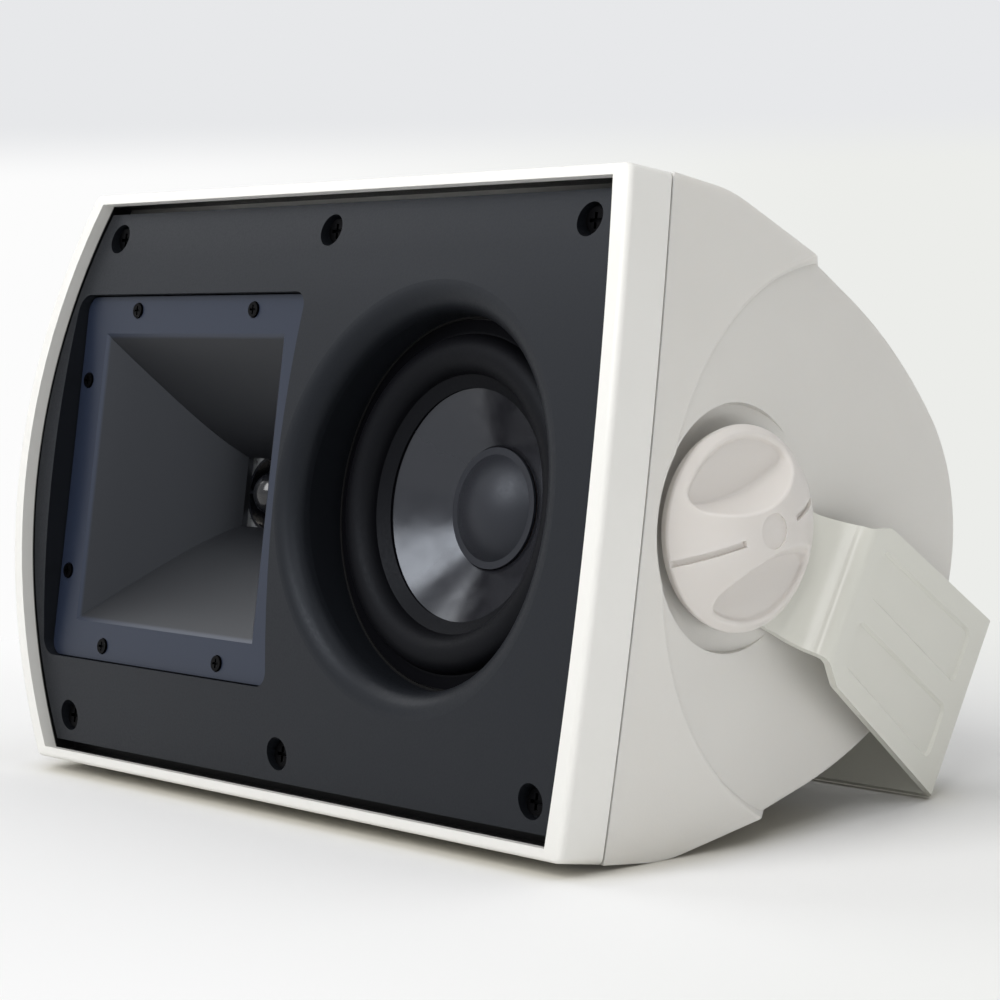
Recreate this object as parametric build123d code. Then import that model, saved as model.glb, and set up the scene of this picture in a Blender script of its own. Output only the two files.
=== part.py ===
from build123d import *

import os
from math import asin, atan2, cos, degrees, hypot, radians, sin, sqrt, tan

# A two-way outdoor speaker: a moulded drum-backed cabinet with a horn and a woofer behind a sunk baffle,
# clamped by two hand knobs between the arms of a bent steel bracket, whose lower edge is a foot.
# Millimetres. The pieces are drawn with the cabinet upright and the clamp axis on X through the origin:
# X to the right, Y to the back, Z up. The whole is then leaned back onto the table that it stands on.

# Face of the cabinet: concentric surfaces about X, set back from the rim by a depth
FACE_RADIUS = 421.5
FACE_CROWN = 54.5
FACE_CENTRE = FACE_RADIUS - FACE_CROWN
HALF_LENGTH = 130.4
HALF_HEIGHT = 95.1
END_BOW = 14.1
END_RADIUS = (HALF_HEIGHT**2 + END_BOW**2) / (2 * END_BOW)
BEYOND = 260.0

# Bezel
BEZEL_DEPTH = 16.2
BEZEL_CORNER = 3.0
RIM_SIDE = 5.6
RIM_TOP = 3.5
RIM_EDGE = 1.8
LEDGE = 4.8
LEDGE_OPEN_LENGTH = HALF_LENGTH - 5.4
LEDGE_OPEN_HEIGHT = HALF_HEIGHT - 23.1
LEDGE_OPEN_CORNER = 8.0
SEAM_GAP = 0.7
SEAM_SINK = 1.0

# Housing: a collar behind the seam, a sloped flank, a roof arc and a rear arc, the same above and below
WALL = 4.0
COLLAR_DRAFT = 3.3
COLLAR_BLEND = 40.0
FLANK_ANGLE = 21.5
REAR_REACH = 118.5
REAR_RADIUS = 56.8
REAR_ANGLE = 48.9
ROOF_RADIUS = 164.5
DRUM_EDGE = 1.6
CREST_EDGE = 1.2

# The drum's ends step in from the collar's bowed ends, and taper towards the back
STEP_CENTRE = 53.2
STEP_RADIUS = 84.0
STEP_SLOPE = 45.0
DRUM_END = 143.3
DRUM_END_Y = -31.0
DRUM_TAPER = 8.5
DRUM_BOW_RADIUS = 1250.0

# Clamp: a spot face on each end, then friction washer, bracket, thrust washer and knob
SPOT_X = 135.0
SPOT_CENTRE = 3.0
SPOT_RADIUS = 34.5
SPOT_SLOPE = 10.0
FRICTION_THICK = 1.0
FRICTION_RADIUS = 18.0
THRUST_THICK = 1.0
THRUST_RADIUS = 16.0
STUD_RADIUS = 4.0
STUD_REACH = 26.0
STUD_HEAD_RADIUS = 6.0
STUD_HEAD = 5.0
STUD_HEAD_X = 4.5
INSERT_RADIUS = 6.5
INSERT_LENGTH = 20.0
INSERT_BOSS = 11.0
INSERT_BOSS_END = 108.0
RUNNING = 0.06
LOOSE = 0.3

# Knob
KNOB_RADIUS = 29.0
KNOB_RIM_X = 3.7
KNOB_CROWN = 13.0
KNOB_SKIRT_LIFT = 0.9
KNOB_SKIRT_WALL = 2.2
KNOB_SKIRT_DRAFT = 0.9
KNOB_HOLLOW = 2.6
KNOB_EDGE = 1.2
KNOB_BOSS = 19.0
KNOB_ANGLE = 25.0
GRIP_WAIST = 6.5
SCOOP_BAR_RADIUS = 60.0
SCOOP_BAR_SLOPE = 19.5
SCOOP_FLOOR_RADIUS = 25.0
SCOOP_FLOOR = 5.0
SCOOP_DRAFT = 20.0
SCOOP_CORNER = 2.6
SCOOP_FLOOR_EDGE = 1.0
SCOOP_EDGE = 1.2
SLOT_WIDTH = 2.0
SLOT_DEPTH = 1.2
SLOT_START = 10.3
BADGE_RADIUS = 5.0
BADGE_DEPTH = 0.8

# Bracket
SHEET = 2.5
BRACKET_ANGLE = 20.2
BRACKET_REACH = 133.0
BRACKET_CORNER = 126.0
PAD_RADIUS = 18.5
SWEEP_REACH = 34.6
SWEEP_RADIUS = 18.5
RIDGE_X = 151.0
RIDGE_REACH = 42.0
RIDGE_RADIUS = 5.0
CORNER_RADIUS = 4.5
NECK_HALF = 18.5
RIDGE_HALF = 20.2
FLARE_REACH = 51.5
FLARE_HALF = 24.8
FLARE_BLEND = 6.0
PLATE_HALF = 29.6
PANEL_DEPTH = 0.9
PANEL_SLOPE = 45.0
PANEL_START = 51.0
PANEL_END = 120.5
PANEL_RIB = 3.7
PANEL_START_HALF = 18.2
PANEL_END_HALF = 21.4
PANEL_CORNER = 3.5
WALL_HOLE = 2.75
WALL_HOLE_PCD = 180.0
CENTRE_HOLE_PCD = 44.0

# Baffle
BAFFLE_SET_BACK = 4.4
BAFFLE_THICK = 6.0
BAFFLE_GAP_SIDE = 1.0
BAFFLE_GAP_TOP = 3.0
GASKET = 1.0
FIXING_X = HALF_LENGTH - 15.2
FIXING_Z = HALF_HEIGHT - 15.1
FIXING_COUNTERBORE = 5.0
FIXING_SINK = 4.4
FIXING_BOSS = 6.0
FIXING_BOSS_LENGTH = 22.0
FIXING_RIB = 4.0
SCREW_RADIUS = 2.0
SCREW_HEAD = 3.8
SCREW_HEAD_HEIGHT = 2.2
SCREW_LENGTH = 22.0
SCREW_FIT = 0.05

# Horn
HORN_X = -67.2
FLANGE_LENGTH = 124.0
FLANGE_HEIGHT = 120.8
FLANGE_CORNER = 5.0
FLANGE_THICK = 3.5
FLANGE_FRONT = -42.7
POCKET_GAP = 0.4
TRAY_WALL = 1.4
TRAY_FLOOR = 3.0
TRAY_OPEN_LENGTH = 106.0
TRAY_OPEN_HEIGHT = 103.0
HORN_GASKET = 0.5
MOUTH_LENGTH = 99.0
MOUTH_HEIGHT = 96.2
THROAT = 23.0
HORN_DEPTH = 36.0
HORN_FLARE = 1.32
HORN_SECTIONS = 4
HORN_WALL = 2.5
THROAT_RADIUS = 34.0
THROAT_FLANGE = 6.0
THROAT_NECK = 2.0
HORN_SCREW_RADIUS = 1.5
HORN_SCREW_HEAD = 2.4
HORN_SCREW_HEAD_HEIGHT = 1.4
HORN_SCREW_SINK = 0.8
HORN_SCREW_LENGTH = 9.0
HORN_SCREW_OUT_X = 57.4
HORN_SCREW_OUT_Z = 55.7
HORN_SCREW_ALONG = 32.2

# Compression driver
DRIVER_FRONT_RADIUS = 38.0
DRIVER_RADIUS = 34.0
DRIVER_PLATE = 6.0
DRIVER_BORE = 12.7
DIAPHRAGM = 0.8
DIAPHRAGM_RADIUS = 30.0
DIAPHRAGM_DOME = 16.0
DIAPHRAGM_HEIGHT = 4.0
DRIVER_TOP_PLATE = 5.0
DRIVER_MAGNET = 14.0
DRIVER_MAGNET_HOLE = 18.0
DRIVER_BACK = 5.0
DRIVER_POLE = 11.5
DRIVER_SCREW_PCD = 54.0
DRIVER_SCREW_LENGTH = 10.0
PLUG_RING = 1.0
PLUG_LENGTH = 5.0
PLUG_FIN = 1.2
PLUG_RADIUS = 7.5

# Woofer
WOOFER_X = 58.5
WOOFER_OPENING = 55.0
WOOFER_LIP = 7.6
WOOFER_SEAT = -30.6
WOOFER_BOSS = 63.5
BASKET_RADIUS = 63.0
BASKET_OPENING = 51.0
BASKET_FLANGE = 2.5
BASKET_WALL = 2.0
BASKET_LEDGE = 42.0
BASKET_LEDGE_INNER = 36.0
BASKET_LEDGE_Y = -4.0
BASKET_BACK = 4.0
BASKET_BACK_RADIUS = 46.0
BASKET_BACK_INNER = 27.0
BASKET_WINDOWS = 6
BASKET_WINDOW_WIDTH = 26.0
SURROUND_LIP = 54.0
SURROUND_MID = 44.0
SURROUND_ROLL = 6.0
SURROUND_THICK = 0.8
CONE_OUTER = 38.0
CONE_SEEN = 34.3
CONE_SEEN_Y = -26.6
CONE_SLOPE = 0.644
CONE_THICK = 1.0
CAP_RING = 18.0
CAP_RADIUS = 16.7
CAP_HEIGHT = 7.0
CAP_THICK = 0.8
COIL_RADIUS = 12.7
FORMER_THICK = 0.25
WINDING = 0.5
COIL_FRONT = -13.0
COIL_BACK = 12.0
WOOFER_MOTOR = 40.0
WOOFER_GAP_RADIUS = 13.6
WOOFER_POLE = 11.9
WOOFER_TOP_PLATE = 5.0
WOOFER_MAGNET = 18.0
WOOFER_MAGNET_HOLE = 20.0
WOOFER_BACK = 5.0
WOOFER_SCREW_PCD = 117.0
WOOFER_SCREW_LENGTH = 12.0

# Terminal cup in the back of the drum
CUP_LENGTH = 64.0
CUP_HEIGHT = 42.0
CUP_PLATE = 2.5
CUP_SEAT = 112.5
CUP_LAND = 6.0
CUP_LAND_MARGIN = 4.0
CUP_INNER_LENGTH = 46.0
CUP_INNER_HEIGHT = 26.0
CUP_DEPTH = 22.0
CUP_WALL = 2.0
CUP_CORNER = 5.0
CUP_SCREW_X = 27.5
CUP_SCREW_Z = 16.5
POST_SPACING = 19.05
POST_RADIUS = 3.0
POST_FRONT = 83.0
POST_CAP_RADIUS = 6.5
POST_CAP_LENGTH = 15.0
POST_COLLAR_RADIUS = 7.0
POST_COLLAR = 3.0
POST_FLUTES = 12
POST_NUT = 5.0
POST_NUT_THICK = 3.5
SOCKET_RADIUS = 2.02
SOCKET_DEPTH = 14.0

# Crossover board on the right end wall
BOARD_X = 112.0
BOARD_THICK = 1.6
BOARD_FRONT = 26.0
BOARD_BACK = 76.0
BOARD_HALF = 31.0
BOARD_POST = 3.5
BOARD_POST_EDGE = 5.0
BOARD_SCREW_LENGTH = 6.0
LEAD_RADIUS = 1.1
LEAD_BEND = 6.0


def rod_x(radius, x0, x1, y=0.0, z=0.0):
    return Pos((x0 + x1) / 2, y, z) * Rot(0, 90, 0) * Cylinder(radius, x1 - x0)


def cone_x(radius0, radius1, x0, x1, y=0.0, z=0.0):
    return Pos((x0 + x1) / 2, y, z) * Rot(0, 90, 0) * Cone(radius0, radius1, x1 - x0)


def rod_y(radius, y0, y1, x=0.0, z=0.0):
    return Pos(x, (y0 + y1) / 2, z) * Rot(90, 0, 0) * Cylinder(radius, y1 - y0)


def ring_y(outer, inner, y0, y1, x=0.0, z=0.0):
    return rod_y(outer, y0, y1, x, z) - rod_y(inner, y0, y1, x, z)


def ring_x(outer, inner, x0, x1, y=0.0, z=0.0):
    return rod_x(outer, x0, x1, y, z) - rod_x(inner, x0, x1, y, z)


def block(x0, x1, y0, y1, z0, z1):
    return Pos((x0 + x1) / 2, (y0 + y1) / 2, (z0 + z1) / 2) * Box(x1 - x0, y1 - y0, z1 - z0)


def front_plane(x, y, z=0.0):
    """A sketch plane that faces the front: sketch x runs right and sketch y runs up."""
    return Plane((x, y, z), x_dir=(1, 0, 0), z_dir=(0, -1, 0))


def end_plane(x):
    """A sketch plane that faces right: sketch x runs back and sketch y runs up."""
    return Plane((x, 0, 0), x_dir=(0, 1, 0), z_dir=(1, 0, 0))


def turned_y(points, x=0.0):
    """A turned solid about the line along Y at x, from (radius, y) points."""
    return Pos(x, 0, 0) * revolve(make_face(Polyline(*points, close=True)), Axis.Y)


def prism_y(outline, x, y0, y1, z=0.0):
    """An outline drawn on the front, reaching from y0 in front to y1 behind."""
    return extrude(front_plane(x, y1, z) * outline, y1 - y0)


def rounded_bar(length, height, corner, x, y0, y1):
    return prism_y(RectangleRounded(length, height, corner), x, y0, y1)


def mirrored(piece):
    return mirror(piece, Plane.YZ)


def screw_y(x, z, seat, way, length, radius, head_radius, head_height):
    """A pan-head screw with a cross recess along Y: `way` is +1 when its point is at the back."""
    shank = rod_y(radius, min(seat, seat + way * length), max(seat, seat + way * length), x, z)
    top = seat - way * head_height
    head = rod_y(head_radius, min(seat, top), max(seat, top), x, z)
    sunk = top + way * head_height * 0.5
    low, high = min(top, sunk), max(top, sunk)
    arm, half = head_radius * 0.62, head_radius * 0.14
    cross = block(x - arm, x + arm, low, high, z - half, z + half)
    cross += block(x - half, x + half, low, high, z - arm, z + arm)
    return shank + (head - cross)


def face_y(depth, z=0.0):
    """Where the face surface that lies `depth` behind the rim stands, at height z."""
    return FACE_CENTRE - sqrt((FACE_RADIUS - depth) ** 2 - z * z)


def behind_face(depth):
    """All that lies behind the face surface that is set back by `depth`."""
    return rod_x(FACE_RADIUS - depth, -BEYOND, BEYOND, FACE_CENTRE)


def face_slab(front_depth, back_depth):
    return behind_face(front_depth) - behind_face(back_depth)


def bowed_prism(inset_side, inset_top):
    """The face's outline, straight above and below and bowed at the ends, drawn in and run along Y."""
    length = HALF_LENGTH - inset_side
    height = HALF_HEIGHT - inset_top
    top = Line((-length, height), (length, height))
    right = ThreePointArc((length, height), (length + END_BOW, 0), (length, -height))
    bottom = Line((length, -height), (-length, -height))
    left = ThreePointArc((-length, -height), (-length - END_BOW, 0), (-length, height))
    return prism_y(make_face([top, right, bottom, left]), 0, -BEYOND / 2, 0)


FIXINGS = [(x, z) for x in (-FIXING_X, 0.0, FIXING_X) for z in (-FIXING_Z, FIXING_Z)]
BAFFLE_BACK_DEPTH = BAFFLE_SET_BACK + BAFFLE_THICK
LEDGE_DEPTH = BAFFLE_BACK_DEPTH + GASKET
FIXING_SEAT = face_y(BAFFLE_SET_BACK, FIXING_Z) + FIXING_SINK

# Rear housing: the side profile's arcs, and the corner where the collar turns into the sloped flank
REAR_CENTRE = REAR_REACH - REAR_RADIUS
ROOF_ANGLE = 90.0 - FLANK_ANGLE
ROOF_CENTRE = (
    REAR_CENTRE + (REAR_RADIUS - ROOF_RADIUS) * cos(radians(REAR_ANGLE)),
    (REAR_RADIUS - ROOF_RADIUS) * sin(radians(REAR_ANGLE)),
)
SEAM_Y = face_y(BEZEL_DEPTH, HALF_HEIGHT)


def roof_front(inset):
    size = ROOF_RADIUS - inset
    angle = radians(ROOF_ANGLE)
    return (ROOF_CENTRE[0] + size * cos(angle), ROOF_CENTRE[1] + size * sin(angle))


def collar_height(inset, y):
    draft = radians(COLLAR_DRAFT)
    return HALF_HEIGHT - inset / cos(draft) - tan(draft) * (y - SEAM_Y)


def collar_corner(inset):
    start = roof_front(inset)
    slope = tan(radians(FLANK_ANGLE))
    level = start[1] + slope * start[0]
    y = (level - collar_height(inset, 0.0)) / (slope - tan(radians(COLLAR_DRAFT)))
    return (y, collar_height(inset, y))


def side_profile(inset):
    """The side profile, drawn in by `inset` and run on past the face: sketch x runs back, y up."""
    front = -BEYOND / 2
    corner = collar_corner(inset)
    roof = roof_front(inset)
    tip = collar_height(inset, front)
    sweep = ROOF_ANGLE - REAR_ANGLE
    edges = [
        Line((front, -tip), (front, tip)),
        Line((front, tip), corner),
        Line(corner, roof),
        CenterArc(ROOF_CENTRE, ROOF_RADIUS - inset, ROOF_ANGLE, -sweep),
        CenterArc((REAR_CENTRE, 0), REAR_RADIUS - inset, REAR_ANGLE, -2 * REAR_ANGLE),
        CenterArc((ROOF_CENTRE[0], -ROOF_CENTRE[1]), ROOF_RADIUS - inset, -REAR_ANGLE, -sweep),
        Line((roof[0], -roof[1]), (corner[0], -corner[1])),
        Line((corner[0], -corner[1]), (front, -tip)),
    ]
    outline = make_face(edges)
    blends = [v for v in outline.vertices() if abs(v.X - corner[0]) < 0.01]
    return fillet(blends, COLLAR_BLEND - inset)


def drum_end_tool(inset):
    """What is taken off the right end: the tapered drum end inside the step, and the spot face."""
    tilt = radians(DRUM_TAPER)
    normal = Vector(cos(tilt), sin(tilt), 0)
    along = Vector(-sin(tilt), cos(tilt), 0)
    surface = Vector(DRUM_END, DRUM_END_Y, 0) - normal * inset
    centre = surface + along * ((STEP_CENTRE - DRUM_END_Y) / cos(tilt))
    grow = tan(radians(STEP_SLOPE))
    low, high = -12.0, 30.0
    radius = STEP_RADIUS + inset
    cone = Cone(radius + low * grow, radius + high * grow, high - low)
    bowl = Plane(centre + normal * ((low + high) / 2), x_dir=(0, 0, 1), z_dir=normal) * cone
    keep = Plane(centre - normal * DRUM_BOW_RADIUS, x_dir=(0, 0, 1), z_dir=along)
    bowl -= keep * Cylinder(DRUM_BOW_RADIUS, 4 * BEYOND)
    reach = 20.0
    flare = reach * tan(radians(SPOT_SLOPE))
    spot_x = SPOT_X - inset
    spot = SPOT_RADIUS + inset
    return bowl + cone_x(spot, spot + flare, spot_x, spot_x + reach, SPOT_CENTRE)


def cabinet_form(inset):
    """The cabinet behind the seam as one solid, drawn in by `inset`, run on past the face."""
    form = extrude(end_plane(-BEYOND) * side_profile(inset), 2 * BEYOND)
    middle = HALF_LENGTH + END_BOW - END_RADIUS
    form &= rod_y(END_RADIUS - inset, -BEYOND, BEYOND, middle)
    form &= rod_y(END_RADIUS - inset, -BEYOND, BEYOND, -middle)
    tool = drum_end_tool(inset)
    return form - tool - mirrored(tool)


def on_bowed_end(point):
    middle = HALF_LENGTH + END_BOW - END_RADIUS
    return abs(hypot(abs(point.X) - middle, point.Z) - END_RADIUS) < 0.02


def soften(form, size, chosen):
    """Round the edges of the form whose middle points are chosen."""
    return fillet([e for e in form.edges() if chosen(e, e @ 0.5)], size)


OUTER = cabinet_form(0.0)
OUTER = soften(OUTER, DRUM_EDGE, lambda e, q: abs(q.X) > 100.0 and q.Y > 35.0)
OUTER = soften(
    OUTER,
    CREST_EDGE,
    lambda e, q: on_bowed_end(q) and -50.0 < q.Y < 30.0 and e.geom_type == GeomType.BSPLINE and abs(q.Z) < 75.0,
)
HOLLOW = cabinet_form(WALL)
rear_housing = (OUTER & behind_face(BEZEL_DEPTH)) - HOLLOW

inner_bosses = []
for x, z in FIXINGS:
    level = face_y(BEZEL_DEPTH, z)
    boss = rod_y(FIXING_BOSS, level - FIXING_BOSS, level + FIXING_BOSS_LENGTH, x, z)
    half = FIXING_RIB / 2
    outward = (z, z + 14.0) if z > 0 else (z - 14.0, z)
    boss += block(x - half, x + half, level - FIXING_BOSS, level + FIXING_BOSS_LENGTH, *outward)
    inner_bosses.append(boss)
for side in (-1, 1):
    ends = sorted((side * INSERT_BOSS_END, side * SPOT_X))
    inner_bosses.append(rod_x(INSERT_BOSS, *ends))
BOARD_POSTS = [
    (y, z)
    for y in (BOARD_FRONT + BOARD_POST_EDGE, BOARD_BACK - BOARD_POST_EDGE)
    for z in (BOARD_POST_EDGE - BOARD_HALF, BOARD_HALF - BOARD_POST_EDGE)
]
for y, z in BOARD_POSTS:
    inner_bosses.append(rod_x(BOARD_POST, BOARD_X + BOARD_THICK, HALF_LENGTH + END_BOW, y, z))
land_x = CUP_LENGTH / 2 + CUP_LAND_MARGIN
land_z = CUP_HEIGHT / 2 + CUP_LAND_MARGIN
inner_bosses.append(block(-land_x, land_x, CUP_SEAT - CUP_LAND, REAR_REACH, -land_z, land_z))
inside = cabinet_form(WALL / 2) & behind_face(BEZEL_DEPTH)
for boss in inner_bosses:
    rear_housing += boss & inside
rear_housing -= block(-land_x, land_x, CUP_SEAT, REAR_REACH + 10.0, -land_z, land_z)

cup_hole_x = CUP_INNER_LENGTH + 2 * CUP_WALL + 2 * LOOSE
cup_hole_z = CUP_INNER_HEIGHT + 2 * CUP_WALL + 2 * LOOSE
rear_housing -= rounded_bar(cup_hole_x, cup_hole_z, CUP_CORNER, 0, CUP_SEAT - 2 * CUP_LAND, REAR_REACH + 5.0)
CUP_SCREWS = [(x, z) for x in (-CUP_SCREW_X, CUP_SCREW_X) for z in (-CUP_SCREW_Z, CUP_SCREW_Z)]
for x, z in CUP_SCREWS:
    rear_housing -= rod_y(HORN_SCREW_RADIUS + SCREW_FIT, CUP_SEAT - CUP_LAND - 1.0, CUP_SEAT + 1.0, x, z)
for x, z in FIXINGS:
    level = face_y(BEZEL_DEPTH, z)
    rear_housing -= rod_y(SCREW_RADIUS + SCREW_FIT, level - FIXING_BOSS, level + FIXING_BOSS_LENGTH - 3.0, x, z)
for side in (-1, 1):
    insert_ends = sorted((side * (SPOT_X - INSERT_LENGTH), side * (SPOT_X + 1.0)))
    bore_ends = sorted((side * (INSERT_BOSS_END + 3.0), side * (SPOT_X + 1.0)))
    rear_housing -= rod_x(INSERT_RADIUS, *insert_ends)
    rear_housing -= rod_x(STUD_RADIUS + 1.0, *bore_ends)
for y, z in BOARD_POSTS:
    depth = BOARD_X + BOARD_THICK + BOARD_SCREW_LENGTH
    rear_housing -= rod_x(HORN_SCREW_RADIUS + SCREW_FIT, BOARD_X, depth, y, z)

# Front bezel, with the ledge that the baffle is screwed down on, and the thin seam behind it
TRAY_X = FLANGE_LENGTH / 2 + POCKET_GAP + TRAY_WALL
TRAY_Z = FLANGE_HEIGHT / 2 + POCKET_GAP + TRAY_WALL
ledge_opening = rounded_bar(
    2 * LEDGE_OPEN_LENGTH, 2 * LEDGE_OPEN_HEIGHT, LEDGE_OPEN_CORNER, 0, -BEYOND / 2, 0
)
ledge_opening += rounded_bar(
    2 * (TRAY_X + LOOSE), 2 * (TRAY_Z + LOOSE), FLANGE_CORNER, HORN_X, -BEYOND / 2, 0
)
front_bezel = bowed_prism(0.0, 0.0) & face_slab(0.0, BEZEL_DEPTH)
upright = [e for e in front_bezel.edges().filter_by(Axis.Y) if abs(e.center().X) > HALF_LENGTH - 1.0]
front_bezel = fillet(upright, BEZEL_CORNER)
front_edge = [
    e
    for e in front_bezel.edges()
    if abs(hypot((e @ 0.5).Y - FACE_CENTRE, (e @ 0.5).Z) - FACE_RADIUS) < 0.02
]
front_bezel = fillet(front_edge, RIM_EDGE)
front_bezel -= bowed_prism(RIM_SIDE, RIM_TOP) - behind_face(LEDGE_DEPTH)
front_bezel -= ledge_opening
seam_ring = bowed_prism(-BEZEL_CORNER, -BEZEL_CORNER) - bowed_prism(SEAM_SINK, SEAM_SINK)
front_bezel -= seam_ring & behind_face(BEZEL_DEPTH - SEAM_GAP)
for x, z in FIXINGS:
    front_bezel -= rod_y(SCREW_RADIUS + SCREW_FIT, -BEYOND / 2, 0, x, z)

# Baffle gasket, a flat foam strip on the ledge
BAFFLE_INSET_SIDE = RIM_SIDE + BAFFLE_GAP_SIDE
BAFFLE_INSET_TOP = RIM_TOP + BAFFLE_GAP_TOP
baffle_gasket = bowed_prism(BAFFLE_INSET_SIDE, BAFFLE_INSET_TOP)
baffle_gasket &= face_slab(BAFFLE_BACK_DEPTH, LEDGE_DEPTH)
baffle_gasket -= ledge_opening
for x, z in FIXINGS:
    baffle_gasket -= rod_y(SCREW_RADIUS + LOOSE, -BEYOND / 2, 0, x, z)

# Baffle, with the sunk tray for the horn and the deep lipped ring for the woofer
POCKET_FLOOR = FLANGE_FRONT + FLANGE_THICK + HORN_GASKET
baffle = bowed_prism(BAFFLE_INSET_SIDE, BAFFLE_INSET_TOP) & face_slab(BAFFLE_SET_BACK, BAFFLE_BACK_DEPTH)
tray = rounded_bar(2 * TRAY_X, 2 * TRAY_Z, FLANGE_CORNER, HORN_X, -BEYOND / 2, POCKET_FLOOR + TRAY_FLOOR)
ring = rod_y(WOOFER_BOSS, -BEYOND / 2, WOOFER_SEAT, WOOFER_X)
baffle += (tray + ring) & behind_face(BAFFLE_SET_BACK)
baffle -= rod_y(WOOFER_OPENING, -BEYOND / 2, 0, WOOFER_X)
lip = [
    e
    for e in baffle.edges()
    if abs(hypot((e @ 0.5).X - WOOFER_X, (e @ 0.5).Z) - WOOFER_OPENING) < 0.02
    and (e @ 0.5).Y < WOOFER_SEAT - 5.0
    and abs(hypot((e @ 0.5).Y - FACE_CENTRE, (e @ 0.5).Z) - FACE_RADIUS + BAFFLE_SET_BACK) < 0.02
]
baffle = fillet(lip, WOOFER_LIP)
pocket_x = FLANGE_LENGTH + 2 * POCKET_GAP
pocket_z = FLANGE_HEIGHT + 2 * POCKET_GAP
baffle -= rounded_bar(pocket_x, pocket_z, FLANGE_CORNER + POCKET_GAP, HORN_X, -BEYOND / 2, POCKET_FLOOR)
baffle -= rounded_bar(TRAY_OPEN_LENGTH, TRAY_OPEN_HEIGHT, FLANGE_CORNER, HORN_X, -BEYOND / 2, 0)
for x, z in FIXINGS:
    baffle -= rod_y(FIXING_COUNTERBORE, -BEYOND / 2, FIXING_SEAT, x, z)
    baffle -= rod_y(SCREW_RADIUS + SCREW_FIT, -BEYOND / 2, 0, x, z)
HORN_SCREWS = [
    (HORN_X + a * HORN_SCREW_ALONG, b * HORN_SCREW_OUT_Z) for a in (-1, 1) for b in (-1, 1)
] + [(HORN_X + a * HORN_SCREW_OUT_X, b * HORN_SCREW_ALONG) for a in (-1, 1) for b in (-1, 1)]
for x, z in HORN_SCREWS:
    baffle -= rod_y(HORN_SCREW_RADIUS + SCREW_FIT, -BEYOND / 2, 0, x, z)
half_pcd = WOOFER_SCREW_PCD / 2 * sqrt(0.5)
WOOFER_SCREWS = [(WOOFER_X + a * half_pcd, b * half_pcd) for a in (-1, 1) for b in (-1, 1)]
WOOFER_SCREW_SEAT = WOOFER_SEAT + GASKET + BASKET_FLANGE
for x, z in WOOFER_SCREWS:
    baffle -= rod_y(SCREW_RADIUS + SCREW_FIT, WOOFER_SCREW_SEAT - WOOFER_SCREW_LENGTH, 0, x, z)

baffle_screws = [
    screw_y(x, z, FIXING_SEAT, 1, SCREW_LENGTH, SCREW_RADIUS, SCREW_HEAD, SCREW_HEAD_HEIGHT)
    for x, z in FIXINGS
]


# Horn: a square mouth that flares along four creased corners from the throat
def horn_half(mouth, depth):
    share = (1.0 - depth / HORN_DEPTH) ** HORN_FLARE
    return THROAT / 2 + (mouth / 2 - THROAT / 2) * share


def horn_loft(grow, start):
    """The flare as a solid, `grow` larger all round, from `start` behind the mouth to the throat."""
    sections = []
    for i in range(HORN_SECTIONS + 1):
        depth = start + (HORN_DEPTH - start) * i / HORN_SECTIONS
        length = 2 * (horn_half(MOUTH_LENGTH, depth) + grow)
        height = 2 * (horn_half(MOUTH_HEIGHT, depth) + grow)
        sections.append(front_plane(HORN_X, FLANGE_FRONT + depth) * Rectangle(length, height))
    return loft(sections)


THROAT_BACK = FLANGE_FRONT + HORN_DEPTH + THROAT_NECK
horn = rounded_bar(
    FLANGE_LENGTH, FLANGE_HEIGHT, FLANGE_CORNER, HORN_X, FLANGE_FRONT, FLANGE_FRONT + FLANGE_THICK
)
horn += horn_loft(HORN_WALL, FLANGE_THICK / 2)
horn += rod_y(THROAT_RADIUS, THROAT_BACK - THROAT_FLANGE, THROAT_BACK, HORN_X)
horn -= horn_loft(0.0, 0.0)
horn -= prism_y(Rectangle(THROAT, THROAT), HORN_X, FLANGE_FRONT + HORN_DEPTH - 1.0, THROAT_BACK)
for x, z in HORN_SCREWS:
    horn -= rod_y(HORN_SCREW_RADIUS + SCREW_FIT, FLANGE_FRONT, POCKET_FLOOR, x, z)
    horn -= rod_y(HORN_SCREW_HEAD + LOOSE, FLANGE_FRONT, FLANGE_FRONT + HORN_SCREW_SINK, x, z)
radius = DRIVER_SCREW_PCD / 2
DRIVER_SCREWS = [(HORN_X + radius * a, radius * b) for a, b in ((1, 0), (0, 1), (-1, 0), (0, -1))]
for x, z in DRIVER_SCREWS:
    horn -= rod_y(SCREW_RADIUS + SCREW_FIT, THROAT_BACK - THROAT_FLANGE - 1.0, THROAT_BACK, x, z)

horn_gasket = rounded_bar(
    FLANGE_LENGTH, FLANGE_HEIGHT, FLANGE_CORNER, HORN_X, POCKET_FLOOR - HORN_GASKET, POCKET_FLOOR
)
horn_gasket -= rounded_bar(
    TRAY_OPEN_LENGTH, TRAY_OPEN_HEIGHT, FLANGE_CORNER, HORN_X, POCKET_FLOOR - HORN_GASKET, POCKET_FLOOR
)
for x, z in HORN_SCREWS:
    horn_gasket -= rod_y(HORN_SCREW_RADIUS + SCREW_FIT, POCKET_FLOOR - HORN_GASKET, POCKET_FLOOR, x, z)

HORN_SCREW_SEAT = FLANGE_FRONT + HORN_SCREW_SINK
horn_screws = [
    screw_y(
        x, z, HORN_SCREW_SEAT, 1, HORN_SCREW_LENGTH, HORN_SCREW_RADIUS, HORN_SCREW_HEAD, HORN_SCREW_HEAD_HEIGHT
    )
    for x, z in HORN_SCREWS
]

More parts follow.
